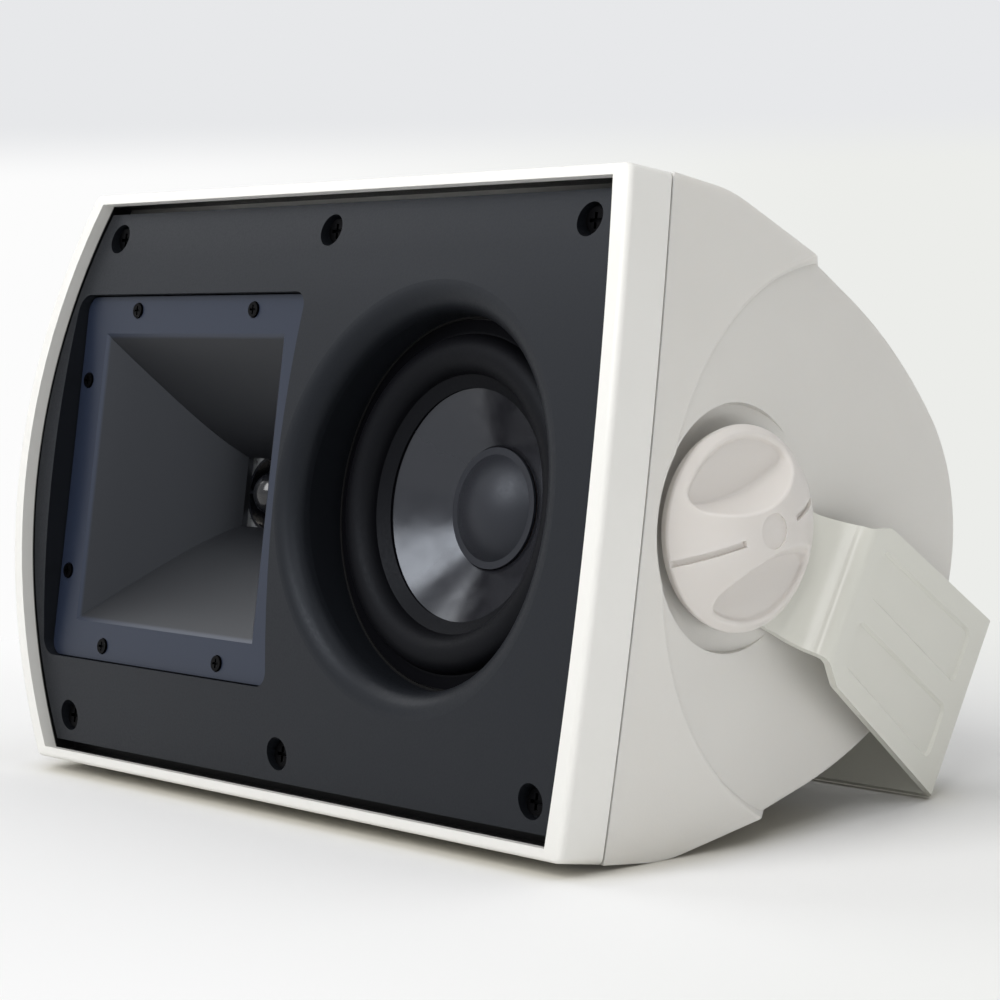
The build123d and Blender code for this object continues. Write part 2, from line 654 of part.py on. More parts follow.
# Compression driver behind the throat: plates and a ring magnet around a pole, and a domed diaphragm
PLATE_BACK = THROAT_BACK + DRIVER_PLATE
DIAPHRAGM_BACK = PLATE_BACK + DIAPHRAGM
TOP_BACK = DIAPHRAGM_BACK + DRIVER_TOP_PLATE
MAGNET_BACK = TOP_BACK + DRIVER_MAGNET
driver_front_plate = ring_y(DRIVER_FRONT_RADIUS, DRIVER_BORE, THROAT_BACK, PLATE_BACK, HORN_X)
for x, z in DRIVER_SCREWS:
    driver_front_plate -= rod_y(SCREW_RADIUS + SCREW_FIT, THROAT_BACK, PLATE_BACK, x, z)
dome_size = (DIAPHRAGM_DOME**2 + DIAPHRAGM_HEIGHT**2) / (2 * DIAPHRAGM_HEIGHT)
dome_y = DIAPHRAGM_BACK + DIAPHRAGM_HEIGHT - dome_size
dome = Pos(HORN_X, dome_y, 0) * (Sphere(dome_size) - Sphere(dome_size - DIAPHRAGM))
dome &= rod_y(DIAPHRAGM_RADIUS, DIAPHRAGM_BACK - DIAPHRAGM / 2, DIAPHRAGM_BACK + 9.0, HORN_X)
driver_diaphragm = ring_y(DIAPHRAGM_RADIUS, DIAPHRAGM_DOME - 1.0, PLATE_BACK, DIAPHRAGM_BACK, HORN_X) + dome
driver_top_plate = ring_y(DRIVER_RADIUS, DIAPHRAGM_DOME + 1.0, DIAPHRAGM_BACK, TOP_BACK, HORN_X)
driver_magnet = ring_y(DRIVER_RADIUS, DRIVER_MAGNET_HOLE, TOP_BACK, MAGNET_BACK, HORN_X)
driver_back_plate = rod_y(DRIVER_RADIUS, MAGNET_BACK, MAGNET_BACK + DRIVER_BACK, HORN_X)
driver_back_plate += rod_y(DRIVER_POLE, TOP_BACK, MAGNET_BACK, HORN_X)
driver_screws = [
    screw_y(
        x,
        z,
        THROAT_BACK - THROAT_FLANGE,
        1,
        DRIVER_SCREW_LENGTH,
        SCREW_RADIUS,
        SCREW_HEAD,
        SCREW_HEAD_HEIGHT,
    )
    for x, z in DRIVER_SCREWS
]

# Phase plug: a bullet on four fins in a ring that sits in the driver's bore
plug_ring = DRIVER_BORE - SCREW_FIT
phase_plug = ring_y(plug_ring, plug_ring - PLUG_RING, THROAT_BACK, THROAT_BACK + PLUG_LENGTH, HORN_X)
fins = block(HORN_X - plug_ring, HORN_X + plug_ring, THROAT_BACK, PLATE_BACK - 1.0, -PLUG_FIN / 2, PLUG_FIN / 2)
fins += block(HORN_X - PLUG_FIN / 2, HORN_X + PLUG_FIN / 2, THROAT_BACK, PLATE_BACK - 1.0, -plug_ring, plug_ring)
phase_plug += fins & rod_y(plug_ring - PLUG_RING / 2, THROAT_BACK, PLATE_BACK, HORN_X)
nose_y = THROAT_BACK + 2.0
phase_plug += rod_y(PLUG_RADIUS, nose_y, PLATE_BACK - 1.0, HORN_X)
phase_plug += Pos(HORN_X, nose_y, 0) * Sphere(PLUG_RADIUS)

# Woofer: basket, gasket and motor
GASKET_BACK = WOOFER_SEAT + GASKET
BASKET_TOP = GASKET_BACK + BASKET_FLANGE
MOTOR_TOP = BASKET_BACK + WOOFER_TOP_PLATE
MOTOR_BACK = MOTOR_TOP + WOOFER_MAGNET
woofer_basket = turned_y(
    [
        (BASKET_OPENING, GASKET_BACK),
        (BASKET_RADIUS, GASKET_BACK),
        (BASKET_RADIUS, BASKET_TOP),
        (BASKET_OPENING + BASKET_WALL, BASKET_TOP),
        (BASKET_LEDGE + BASKET_WALL, BASKET_LEDGE_Y),
        (BASKET_LEDGE + BASKET_WALL, BASKET_BACK - BASKET_WALL),
        (BASKET_BACK_RADIUS, BASKET_BACK - BASKET_WALL),
        (BASKET_BACK_RADIUS, BASKET_BACK),
        (BASKET_BACK_INNER, BASKET_BACK),
        (BASKET_BACK_INNER, BASKET_BACK - BASKET_WALL),
        (BASKET_LEDGE, BASKET_BACK - BASKET_WALL),
        (BASKET_LEDGE, BASKET_LEDGE_Y + BASKET_WALL),
        (BASKET_LEDGE_INNER, BASKET_LEDGE_Y + BASKET_WALL),
        (BASKET_LEDGE_INNER, BASKET_LEDGE_Y),
        (BASKET_LEDGE, BASKET_LEDGE_Y),
        (BASKET_OPENING, BASKET_TOP),
    ],
    WOOFER_X,
)
for i in range(BASKET_WINDOWS):
    half = BASKET_WINDOW_WIDTH / 2
    window = block(BASKET_LEDGE_INNER - 4.0, BASKET_RADIUS, BASKET_TOP + 3.0, BASKET_LEDGE_Y - 3.0, -half, half)
    woofer_basket -= Pos(WOOFER_X, 0, 0) * Rot(0, (i + 0.5) * 360.0 / BASKET_WINDOWS, 0) * window
for x, z in WOOFER_SCREWS:
    woofer_basket -= rod_y(SCREW_RADIUS + SCREW_FIT, GASKET_BACK, BASKET_TOP + 0.5, x, z)
woofer_gasket = ring_y(BASKET_RADIUS, SURROUND_LIP + LOOSE, WOOFER_SEAT, GASKET_BACK, WOOFER_X)
for x, z in WOOFER_SCREWS:
    woofer_gasket -= rod_y(SCREW_RADIUS + SCREW_FIT, WOOFER_SEAT, GASKET_BACK, x, z)
woofer_top_plate = ring_y(WOOFER_MOTOR, WOOFER_GAP_RADIUS, BASKET_BACK, MOTOR_TOP, WOOFER_X)
woofer_magnet = ring_y(WOOFER_MOTOR, WOOFER_MAGNET_HOLE, MOTOR_TOP, MOTOR_BACK, WOOFER_X)
woofer_back_plate = rod_y(WOOFER_MOTOR, MOTOR_BACK, MOTOR_BACK + WOOFER_BACK, WOOFER_X)
woofer_back_plate += rod_y(WOOFER_POLE, BASKET_BACK, MOTOR_BACK, WOOFER_X)
woofer_screws = [
    screw_y(
        x, z, WOOFER_SCREW_SEAT, -1, WOOFER_SCREW_LENGTH - 1.0, SCREW_RADIUS, SCREW_HEAD, SCREW_HEAD_HEIGHT
    )
    for x, z in WOOFER_SCREWS
]


# Woofer: surround, cone, dust cap, spider and voice coil
def cone_y(radius):
    """Where the front of the cone stands at this radius."""
    return CONE_SEEN_Y + (CONE_SEEN - radius) * CONE_SLOPE


roll_outer = SURROUND_MID + SURROUND_ROLL
roll_inner = SURROUND_MID - SURROUND_ROLL
roll_thin = SURROUND_ROLL - SURROUND_THICK
roll = make_face(
    [
        ThreePointArc(
            (roll_outer, GASKET_BACK), (SURROUND_MID, GASKET_BACK - SURROUND_ROLL), (roll_inner, GASKET_BACK)
        ),
        Line((roll_inner, GASKET_BACK), (SURROUND_MID - roll_thin, GASKET_BACK)),
        ThreePointArc(
            (SURROUND_MID - roll_thin, GASKET_BACK),
            (SURROUND_MID, GASKET_BACK - roll_thin),
            (SURROUND_MID + roll_thin, GASKET_BACK),
        ),
        Line((SURROUND_MID + roll_thin, GASKET_BACK), (roll_outer, GASKET_BACK)),
    ]
)
woofer_surround = Pos(WOOFER_X, 0, 0) * revolve(roll, Axis.Y)
woofer_surround += ring_y(SURROUND_LIP, SURROUND_MID + roll_thin, WOOFER_SEAT, GASKET_BACK, WOOFER_X)
glue = LOOSE * 1.2
woofer_surround += turned_y(
    [
        (SURROUND_MID - roll_thin, GASKET_BACK),
        (SURROUND_MID - roll_thin - 0.4, GASKET_BACK - 0.8),
        (CONE_SEEN, cone_y(CONE_SEEN) - glue - SURROUND_THICK),
        (CONE_SEEN, cone_y(CONE_SEEN) - glue),
        (CONE_OUTER, cone_y(CONE_OUTER) - glue),
    ],
    WOOFER_X,
)
neck = COIL_RADIUS + LOOSE
woofer_cone = turned_y(
    [
        (CONE_OUTER, cone_y(CONE_OUTER)),
        (neck, cone_y(neck)),
        (neck, cone_y(neck) + CONE_THICK),
        (CONE_OUTER, cone_y(CONE_OUTER) + CONE_THICK),
    ],
    WOOFER_X,
)
CAP_BACK = cone_y(CAP_RING) - LOOSE
cap_size = (CAP_RADIUS**2 + CAP_HEIGHT**2) / (2 * CAP_HEIGHT)
cap_y = CAP_BACK - CAP_HEIGHT + cap_size
cap = Pos(WOOFER_X, cap_y, 0) * (Sphere(cap_size) - Sphere(cap_size - CAP_THICK))
cap &= rod_y(CAP_RADIUS + 1.0, CAP_BACK - 2 * CAP_HEIGHT, CAP_BACK, WOOFER_X)
dust_cap = cap + ring_y(CAP_RING, CAP_RADIUS - 1.2, CAP_BACK - CAP_THICK, CAP_BACK, WOOFER_X)
waves = []
for i, radius in enumerate((34.0, 30.5, 27.0, 23.5, 20.0, 16.5)):
    waves.append((radius, BASKET_LEDGE_Y - 0.6 + (1.2 if i % 2 else -1.2)))
spider_front = [(BASKET_LEDGE - LOOSE, BASKET_LEDGE_Y - 0.6), (36.5, BASKET_LEDGE_Y - 0.6)]
spider_front += waves + [(neck, BASKET_LEDGE_Y - 0.6)]
spider_back = [(radius, y + 0.6) for radius, y in reversed(spider_front)]
woofer_spider = turned_y(spider_front + spider_back, WOOFER_X)
voice_coil = ring_y(COIL_RADIUS, COIL_RADIUS - FORMER_THICK, COIL_FRONT, COIL_BACK, WOOFER_X)
voice_coil += ring_y(COIL_RADIUS + WINDING, COIL_RADIUS - FORMER_THICK, BASKET_BACK + 0.5, COIL_BACK - 1.0, WOOFER_X)

# Terminal cup, its screws, and two binding posts with turning caps
CUP_FLOOR = CUP_SEAT - CUP_DEPTH + CUP_WALL
terminal_cup = rounded_bar(CUP_LENGTH, CUP_HEIGHT, CUP_CORNER, 0, CUP_SEAT, CUP_SEAT + CUP_PLATE)
box_x = CUP_INNER_LENGTH + 2 * CUP_WALL
box_z = CUP_INNER_HEIGHT + 2 * CUP_WALL
terminal_cup += rounded_bar(box_x, box_z, CUP_CORNER, 0, CUP_SEAT - CUP_DEPTH, CUP_SEAT)
terminal_cup -= rounded_bar(
    CUP_INNER_LENGTH, CUP_INNER_HEIGHT, CUP_CORNER - CUP_WALL, 0, CUP_FLOOR, CUP_SEAT + CUP_PLATE
)
POSTS = (-POST_SPACING / 2, POST_SPACING / 2)
for x in POSTS:
    terminal_cup -= rod_y(POST_RADIUS + SCREW_FIT, CUP_SEAT - CUP_DEPTH, CUP_FLOOR, x)
for x, z in CUP_SCREWS:
    terminal_cup -= rod_y(HORN_SCREW_RADIUS + SCREW_FIT, CUP_SEAT, CUP_SEAT + CUP_PLATE, x, z)
terminal_screws = [
    screw_y(
        x,
        z,
        CUP_SEAT + CUP_PLATE,
        -1,
        CUP_PLATE + CUP_LAND - 1.0,
        HORN_SCREW_RADIUS,
        HORN_SCREW_HEAD,
        HORN_SCREW_HEAD_HEIGHT,
    )
    for x, z in CUP_SCREWS
]
POST_COLLAR_BACK = CUP_FLOOR + POST_COLLAR
POST_BACK = POST_COLLAR_BACK + POST_CAP_LENGTH
binding_posts = []
terminal_nuts = []
post_caps = []
for x in POSTS:
    post = rod_y(POST_RADIUS, POST_FRONT, POST_BACK, x)
    post += rod_y(POST_COLLAR_RADIUS, CUP_FLOOR, POST_COLLAR_BACK, x)
    post -= rod_y(SOCKET_RADIUS, POST_BACK - SOCKET_DEPTH, POST_BACK, x)
    binding_posts.append(post)
    nut_front = CUP_SEAT - CUP_DEPTH - POST_NUT_THICK
    nut = prism_y(RegularPolygon(POST_NUT, 6), x, nut_front, CUP_SEAT - CUP_DEPTH)
    terminal_nuts.append(nut - rod_y(POST_RADIUS + SCREW_FIT, nut_front, CUP_SEAT - CUP_DEPTH, x))
    cap = ring_y(POST_CAP_RADIUS, POST_RADIUS + RUNNING, POST_COLLAR_BACK, POST_BACK, x)
    for i in range(POST_FLUTES):
        angle = radians(i * 360.0 / POST_FLUTES)
        flute_x = x + (POST_CAP_RADIUS + 0.4) * cos(angle)
        flute_z = (POST_CAP_RADIUS + 0.4) * sin(angle)
        cap -= rod_y(1.0, POST_COLLAR_BACK + 2.0, POST_BACK, flute_x, flute_z)
    post_caps.append(cap)

# Crossover board on its posts, with coils, capacitors and resistors
crossover_board = block(BOARD_X, BOARD_X + BOARD_THICK, BOARD_FRONT, BOARD_BACK, -BOARD_HALF, BOARD_HALF)
crossover_screws = []
for y, z in BOARD_POSTS:
    crossover_board -= rod_x(HORN_SCREW_RADIUS + SCREW_FIT, BOARD_X, BOARD_X + BOARD_THICK, y, z)
    screw = rod_x(HORN_SCREW_RADIUS, BOARD_X, BOARD_X + BOARD_SCREW_LENGTH, y, z)
    crossover_screws.append(screw + rod_x(HORN_SCREW_HEAD, BOARD_X - HORN_SCREW_HEAD_HEIGHT, BOARD_X, y, z))
crossover_inductors = [
    ring_x(11.0, 5.0, BOARD_X - 12.0, BOARD_X, BOARD_BACK - 18.0, 9.0),
    ring_x(8.0, 4.0, BOARD_X - 8.0, BOARD_X, BOARD_BACK - 16.0, -14.0),
]
crossover_capacitors = [
    block(BOARD_X - 9.0, BOARD_X, BOARD_FRONT + 14.0, BOARD_FRONT + 23.0, 9.0 - BOARD_HALF, -6.0),
    block(BOARD_X - 9.0, BOARD_X, BOARD_FRONT + 7.0, BOARD_FRONT + 15.0, 8.0, 22.0),
]
crossover_resistors = [
    block(BOARD_X - 6.0, BOARD_X, BOARD_BACK - 6.5, BOARD_BACK - 1.5, 9.0 - BOARD_HALF, -6.0),
    block(BOARD_X - 6.0, BOARD_X, BOARD_FRONT + 17.0, BOARD_FRONT + 20.0, 22.0, BOARD_HALF - 2.0),
]


# Inner leads, each a round wire along straight runs and bends
def lead(*points):
    path = FilletPolyline(*points, radius=LEAD_BEND)
    start = Plane(origin=path @ 0, z_dir=path % 0)
    return sweep(start * Circle(LEAD_RADIUS), path)


input_leads = [
    lead((POSTS[1], POST_FRONT, 0), (POSTS[1], 74.0, 0), (98.0, 73.0, 3.0), (BOARD_X, 73.0, 3.0)),
    lead((POSTS[0], POST_FRONT, 0), (POSTS[0], 70.0, 0), (98.0, 73.0, -2.0), (BOARD_X, 73.0, -2.0)),
]
lead_x = WOOFER_X + BASKET_BACK_RADIUS - 2.0
woofer_leads = [
    lead((lead_x, BASKET_BACK, 3.0), (lead_x, 36.0, 3.0), (BOARD_X, 36.0, 3.0)),
    lead((lead_x, BASKET_BACK, -3.0), (lead_x, 36.0, -3.0), (BOARD_X, 36.0, -3.0)),
]
lead_x = HORN_X + (DRIVER_FRONT_RADIUS + DRIVER_RADIUS) / 2
driver_leads = [
    lead((lead_x, PLATE_BACK, 2.0), (lead_x, 46.0, 2.0), (96.0, 50.0, 24.0), (BOARD_X, 50.0, 24.0)),
    lead((lead_x, PLATE_BACK, -2.0), (lead_x, 40.0, -2.0), (96.0, 44.0, 2.0), (BOARD_X, 44.0, 2.0)),
]

# Clamp hardware on the right end, and its mirror image on the left
PAD_X = SPOT_X + FRICTION_THICK
THRUST_X = PAD_X + SHEET
KNOB_X = THRUST_X + THRUST_THICK
clamp_insert = ring_x(INSERT_RADIUS, STUD_RADIUS + RUNNING, SPOT_X - INSERT_LENGTH, SPOT_X)
friction_washer = ring_x(FRICTION_RADIUS, STUD_RADIUS + RUNNING, SPOT_X, PAD_X)
thrust_washer = ring_x(THRUST_RADIUS, STUD_RADIUS + RUNNING, THRUST_X, KNOB_X)
knob_stud = rod_x(STUD_RADIUS, KNOB_X - STUD_REACH, KNOB_X + STUD_HEAD_X + STUD_HEAD)
head_sketch = end_plane(KNOB_X + STUD_HEAD_X) * RegularPolygon(STUD_HEAD_RADIUS, 6)
knob_stud += extrude(head_sketch, STUD_HEAD)

# Knob: a dome with a waisted grip bar between two scoops, a slot each way and a bare round badge place
crown_x = KNOB_X + KNOB_RIM_X + KNOB_CROWN
dome_size = (KNOB_RADIUS**2 + KNOB_CROWN**2) / (2 * KNOB_CROWN)
dome_x = crown_x - dome_size
rim_x = KNOB_X + KNOB_RIM_X
skirt_x = KNOB_X + KNOB_SKIRT_LIFT
skirt_outer = KNOB_RADIUS - KNOB_SKIRT_DRAFT
skirt_inner = skirt_outer - KNOB_SKIRT_WALL
dome_middle = (dome_x + sqrt(dome_size**2 - KNOB_RADIUS**2 / 4), KNOB_RADIUS / 2)
knob_half = make_face(
    [
        Line((KNOB_X, 0), (KNOB_X, KNOB_BOSS)),
        Line((KNOB_X, KNOB_BOSS), (KNOB_X + KNOB_HOLLOW, KNOB_BOSS)),
        Line((KNOB_X + KNOB_HOLLOW, KNOB_BOSS), (KNOB_X + KNOB_HOLLOW, skirt_inner)),
        Line((KNOB_X + KNOB_HOLLOW, skirt_inner), (skirt_x, skirt_inner)),
        Line((skirt_x, skirt_inner), (skirt_x, skirt_outer)),
        Line((skirt_x, skirt_outer), (rim_x, KNOB_RADIUS)),
        ThreePointArc((rim_x, KNOB_RADIUS), dome_middle, (crown_x, 0)),
        Line((crown_x, 0), (KNOB_X, 0)),
    ]
)
rim_corner = [v for v in knob_half.vertices() if abs(v.Y - KNOB_RADIUS) < 0.01]
knob = revolve(fillet(rim_corner, KNOB_EDGE), Axis.X)
floor_x = KNOB_X + SCOOP_FLOOR
above_x = crown_x + 5.0
bar_radius = SCOOP_BAR_RADIUS - (crown_x - floor_x) * tan(radians(SCOOP_BAR_SLOPE))
lens = Circle(SCOOP_FLOOR_RADIUS) & Pos(0, GRIP_WAIST + SCOOP_BAR_RADIUS) * Circle(bar_radius)
lens = fillet(lens.vertices(), SCOOP_CORNER)
scoop = extrude(end_plane(floor_x) * lens, above_x - floor_x, taper=-SCOOP_DRAFT)
scoop_floor = scoop.faces().sort_by(Axis.X)[0]
scoop = fillet(scoop_floor.edges(), SCOOP_FLOOR_EDGE)
for way in (0.0, 180.0):
    knob -= Rot(KNOB_ANGLE + way, 0, 0) * scoop


def on_dome(point):
    return abs(hypot(hypot(point.X - dome_x, point.Y), point.Z) - dome_size) < 0.02


scoop_edge = [e for e in knob.edges() if on_dome(e @ 0.3) and on_dome(e @ 0.7)]
scoop_edge = [e for e in scoop_edge if (e @ 0.5).X > rim_x + KNOB_EDGE]
knob = fillet(scoop_edge, SCOOP_EDGE)
slot = block(skirt_x, above_x, -KNOB_RADIUS - 1.0, KNOB_RADIUS + 1.0, -SLOT_WIDTH / 2, SLOT_WIDTH / 2)
slot -= rod_x(SLOT_START, skirt_x, above_x)
slot -= Pos(dome_x, 0, 0) * Sphere(dome_size - SLOT_DEPTH)
slot -= rod_x(KNOB_RADIUS + 5.0, skirt_x - 1.0, rim_x)
knob -= Rot(KNOB_ANGLE, 0, 0) * slot
knob -= rod_x(BADGE_RADIUS, crown_x - BADGE_DEPTH, above_x)
knob -= knob_stud

# Bracket: one bent sheet, drawn straight back and then turned down about the clamp axis
pad_mid = PAD_X + SHEET / 2
path_right = [
    (pad_mid, -PAD_RADIUS - 5.0),
    (pad_mid, SWEEP_REACH),
    (RIDGE_X - SHEET / 2, RIDGE_REACH),
    (BRACKET_CORNER - SHEET / 2, BRACKET_REACH - SHEET / 2),
]
bends = [SWEEP_RADIUS, RIDGE_RADIUS - SHEET / 2, CORNER_RADIUS - SHEET / 2]
path_left = [(-x, y) for x, y in reversed(path_right)]
sheet_line = FilletPolyline(*path_right, *path_left, radius=bends + bends[::-1])
sheet = extrude(trace(sheet_line, SHEET), 2 * PLATE_HALF, both=True)
arm_edge = [
    (NECK_HALF * 0.3, NECK_HALF),
    (RIDGE_REACH * 0.72, NECK_HALF),
    (RIDGE_REACH, RIDGE_HALF),
    (FLARE_REACH, FLARE_HALF),
    (BRACKET_REACH + 5.0, PLATE_HALF),
]
arm_outline = make_face(Polyline(*arm_edge, *[(u, -w) for u, w in reversed(arm_edge)], close=True))
turns = [v for v in arm_outline.vertices() if RIDGE_REACH * 0.7 < v.X < FLARE_REACH + 1.0]
arm_outline = fillet(turns, FLARE_BLEND)
arm_outline += Circle(PAD_RADIUS)
bracket = sheet & extrude(end_plane(-BEYOND) * arm_outline, 2 * BEYOND)
toe = atan2(RIDGE_X - BRACKET_CORNER, BRACKET_REACH - SHEET / 2 - RIDGE_REACH)
arm_normal = Vector(cos(toe), sin(toe), 0)
arm_along = Vector(-sin(toe), cos(toe), 0)
panel_origin = Vector(RIDGE_X - SHEET / 2, RIDGE_REACH, 0) + arm_normal * (SHEET / 2)
panel_plane = Plane(panel_origin, x_dir=arm_along, z_dir=arm_normal)
near = (PANEL_START - RIDGE_REACH) / cos(toe)
far = (PANEL_END - RIDGE_REACH) / cos(toe)
panel = make_face(
    Polyline((near, PANEL_RIB), (far, PANEL_RIB), (far, PANEL_END_HALF), (near, PANEL_START_HALF), close=True)
)
panel = fillet(panel.vertices(), PANEL_CORNER)
panels = extrude(panel_plane * panel, -PANEL_DEPTH, taper=PANEL_SLOPE)
panels += extrude(panel_plane * mirror(panel, Plane.XZ), -PANEL_DEPTH, taper=PANEL_SLOPE)
bracket -= panels + mirrored(panels)
stud_hole = STUD_RADIUS + RUNNING
bracket -= rod_x(stud_hole, -PAD_X - 2 * SHEET, PAD_X + 2 * SHEET)
diagonal = CENTRE_HOLE_PCD / 2 * sqrt(0.5)
plate_holes = [(a * diagonal, b * diagonal) for a in (-1, 1) for b in (-1, 1)]
plate_holes += [(-WALL_HOLE_PCD / 2, 0.0), (WALL_HOLE_PCD / 2, 0.0)]
for x, z in plate_holes:
    bracket -= rod_y(WALL_HOLE, BRACKET_REACH - 2 * SHEET, BRACKET_REACH + SHEET, x, z)
bracket = Rot(-BRACKET_ANGLE, 0, 0) * bracket

# The lean: the table touches the bracket's lower back edge and the rounded turn under the collar
turn = radians(BRACKET_ANGLE)
foot_y = BRACKET_REACH * cos(turn) - PLATE_HALF * sin(turn)
foot_z = -BRACKET_REACH * sin(turn) - PLATE_HALF * cos(turn)
corner_y, corner_z = collar_corner(0.0)
half_turn = radians((FLANK_ANGLE - COLLAR_DRAFT) / 2)
blend_way = radians(90.0 - (FLANK_ANGLE + COLLAR_DRAFT) / 2)
blend_y = corner_y - COLLAR_BLEND / cos(half_turn) * cos(blend_way)
blend_z = COLLAR_BLEND / cos(half_turn) * sin(blend_way) - corner_z
span = hypot(foot_y - blend_y, foot_z - blend_z)
lean = atan2(foot_z - blend_z, foot_y - blend_y) + asin(COLLAR_BLEND / span)
table_z = -sin(lean) * foot_y + cos(lean) * foot_z
front_y = FACE_CENTRE * cos(lean) - FACE_RADIUS
top_y = BRACKET_REACH * cos(turn) + PLATE_HALF * sin(turn)
top_z = -BRACKET_REACH * sin(turn) + PLATE_HALF * cos(turn)
back_y = cos(lean) * top_y + sin(lean) * top_z
stand = Pos(0, -(front_y + back_y) / 2, -table_z) * Rot(-degrees(lean), 0, 0)

nodes = {
    "rear_housing": [rear_housing],
    "front_bezel": [front_bezel],
    "baffle_gasket": [baffle_gasket],
    "baffle": [baffle],
    "baffle_screws": baffle_screws,
    "horn": [horn],
    "horn_gasket": [horn_gasket],
    "horn_screws": horn_screws,
    "driver_front_plate": [driver_front_plate],
    "phase_plug": [phase_plug],
    "driver_diaphragm": [driver_diaphragm],
    "driver_top_plate": [driver_top_plate],
    "driver_magnet": [driver_magnet],
    "driver_back_plate": [driver_back_plate],
    "driver_screws": driver_screws,
    "woofer_basket": [woofer_basket],
    "woofer_gasket": [woofer_gasket],
    "woofer_surround": [woofer_surround],
    "woofer_cone": [woofer_cone],
    "dust_cap": [dust_cap],
    "woofer_spider": [woofer_spider],
    "voice_coil": [voice_coil],
    "woofer_top_plate": [woofer_top_plate],
    "woofer_magnet": [woofer_magnet],
    "woofer_back_plate": [woofer_back_plate],
    "woofer_screws": woofer_screws,
    "terminal_cup": [terminal_cup],
    "terminal_screws": terminal_screws,
    "binding_posts": binding_posts,
    "terminal_nuts": terminal_nuts,
    "black_post_cap": [post_caps[0]],
    "red_post_cap": [post_caps[1]],
    "crossover_board": [crossover_board],
    "crossover_screws": crossover_screws,
    "crossover_inductors": crossover_inductors,
    "crossover_capacitors": crossover_capacitors,
    "crossover_resistors": crossover_resistors,
    "input_leads": input_leads,
    "woofer_leads": woofer_leads,
    "driver_leads": driver_leads,
    "clamp_inserts": [clamp_insert, mirrored(clamp_insert)],
    "friction_washers": [friction_washer, mirrored(friction_washer)],
    "bracket": [bracket],
    "right_thrust_washer": [thrust_washer],
    "left_thrust_washer": [mirrored(thrust_washer)],
    "right_knob": [knob],
    "left_knob": [mirrored(knob)],
    "right_knob_stud": [knob_stud],
    "left_knob_stud": [mirrored(knob_stud)],
}

os.makedirs("parts", exist_ok=True)
for name, pieces in nodes.items():
    solids = [stand * solid for piece in pieces for solid in piece.solids()]
    shape = solids[0] if len(solids) == 1 else Compound(children=solids)
    export_step(shape, os.path.join("parts", name + ".step"))
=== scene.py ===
import math

import bmesh
import bpy
from mathutils import Matrix, Vector


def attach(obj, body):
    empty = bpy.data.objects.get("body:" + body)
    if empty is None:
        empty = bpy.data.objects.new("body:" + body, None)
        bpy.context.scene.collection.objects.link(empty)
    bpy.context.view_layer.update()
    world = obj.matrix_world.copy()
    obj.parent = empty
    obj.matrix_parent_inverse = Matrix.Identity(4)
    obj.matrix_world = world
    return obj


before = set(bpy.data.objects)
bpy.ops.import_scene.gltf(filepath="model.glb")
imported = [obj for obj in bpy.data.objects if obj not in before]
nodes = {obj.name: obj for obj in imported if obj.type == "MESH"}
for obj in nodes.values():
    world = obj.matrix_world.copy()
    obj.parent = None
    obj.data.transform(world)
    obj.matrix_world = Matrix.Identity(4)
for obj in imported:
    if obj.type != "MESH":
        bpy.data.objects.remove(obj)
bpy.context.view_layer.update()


# Rear housing: the drum-backed half of the cabinet, one injection moulding in weatherproof ASA.
# The tool was spark eroded, which leaves a fine even pebble and a dry satin shine. The pebble is
# about 0.3 mm on such a moulding, and is drawn at twice that so that it shows.
NOISE_LOW = 0.3
NOISE_HIGH = 0.7
LIGHT_SINKS_IN = 0.004


def linear(hex_colour):
    """An sRGB hex colour as linear red, green, blue and an alpha of 1."""
    parts = [int(hex_colour[i:i + 2], 16) / 255.0 for i in (1, 3, 5)]
    return [p / 12.92 if p <= 0.04045 else ((p + 0.055) / 1.055) ** 2.4 for p in parts] + [1.0]


def add(tree, kind, inputs=(), **settings):
    """Add a shader node with its settings; an input that is a socket is linked, any other is set."""
    new = tree.nodes.new("ShaderNode" + kind)
    for key, value in settings.items():
        setattr(new, key, value)
    for key, value in dict(inputs).items():
        if isinstance(value, bpy.types.NodeSocket):
            tree.links.new(value, new.inputs[key])
        else:
            new.inputs[key].default_value = value
    return new


def start_finish(name):
    """A new material with its node tree, its shader and the object's own coordinates in metres."""
    material = bpy.data.materials.new(name)
    material.use_nodes = True
    tree = material.node_tree
    shader = tree.nodes["Principled BSDF"]
    place = add(tree, "TexCoord").outputs["Object"]
    return material, tree, shader, place


def per_metre(size_mm):
    """The texture scale that gives a pattern of this size."""
    return 1000.0 / size_mm


def moulded(name, colour, second, roughness, grain_mm, depth_mm, cloud_mm=45.0, ior=1.49):
    """A moulded or coated skin: two close colours in soft clouds, and a grain that breaks up the shine."""
    smoother = 0.05
    rougher = 0.07
    grain_strength = 0.35
    material, tree, shader, place = start_finish(name)
    cloud = add(tree, "TexNoise", {"Vector": place, "Scale": per_metre(cloud_mm), "Detail": 3.0})
    tone = add(
        tree,
        "Mix",
        {"Factor": cloud.outputs["Fac"], "A": linear(colour), "B": linear(second)},
        data_type="RGBA",
    )
    grain = add(tree, "TexNoise", {"Vector": place, "Scale": per_metre(grain_mm), "Detail": 2.0})
    shine = add(
        tree,
        "MapRange",
        {"Value": grain.outputs["Fac"], "From Min": NOISE_LOW, "From Max": NOISE_HIGH,
         "To Min": roughness - smoother, "To Max": roughness + rougher},
    )
    bump = add(
        tree,
        "Bump",
        {"Height": grain.outputs["Fac"], "Strength": grain_strength, "Distance": depth_mm / 1000.0},
    )
    tree.links.new(tone.outputs["Result"], shader.inputs["Base Color"])
    tree.links.new(shine.outputs["Result"], shader.inputs["Roughness"])
    tree.links.new(bump.outputs["Normal"], shader.inputs["Normal"])
    shader.inputs["IOR"].default_value = ior
    return material


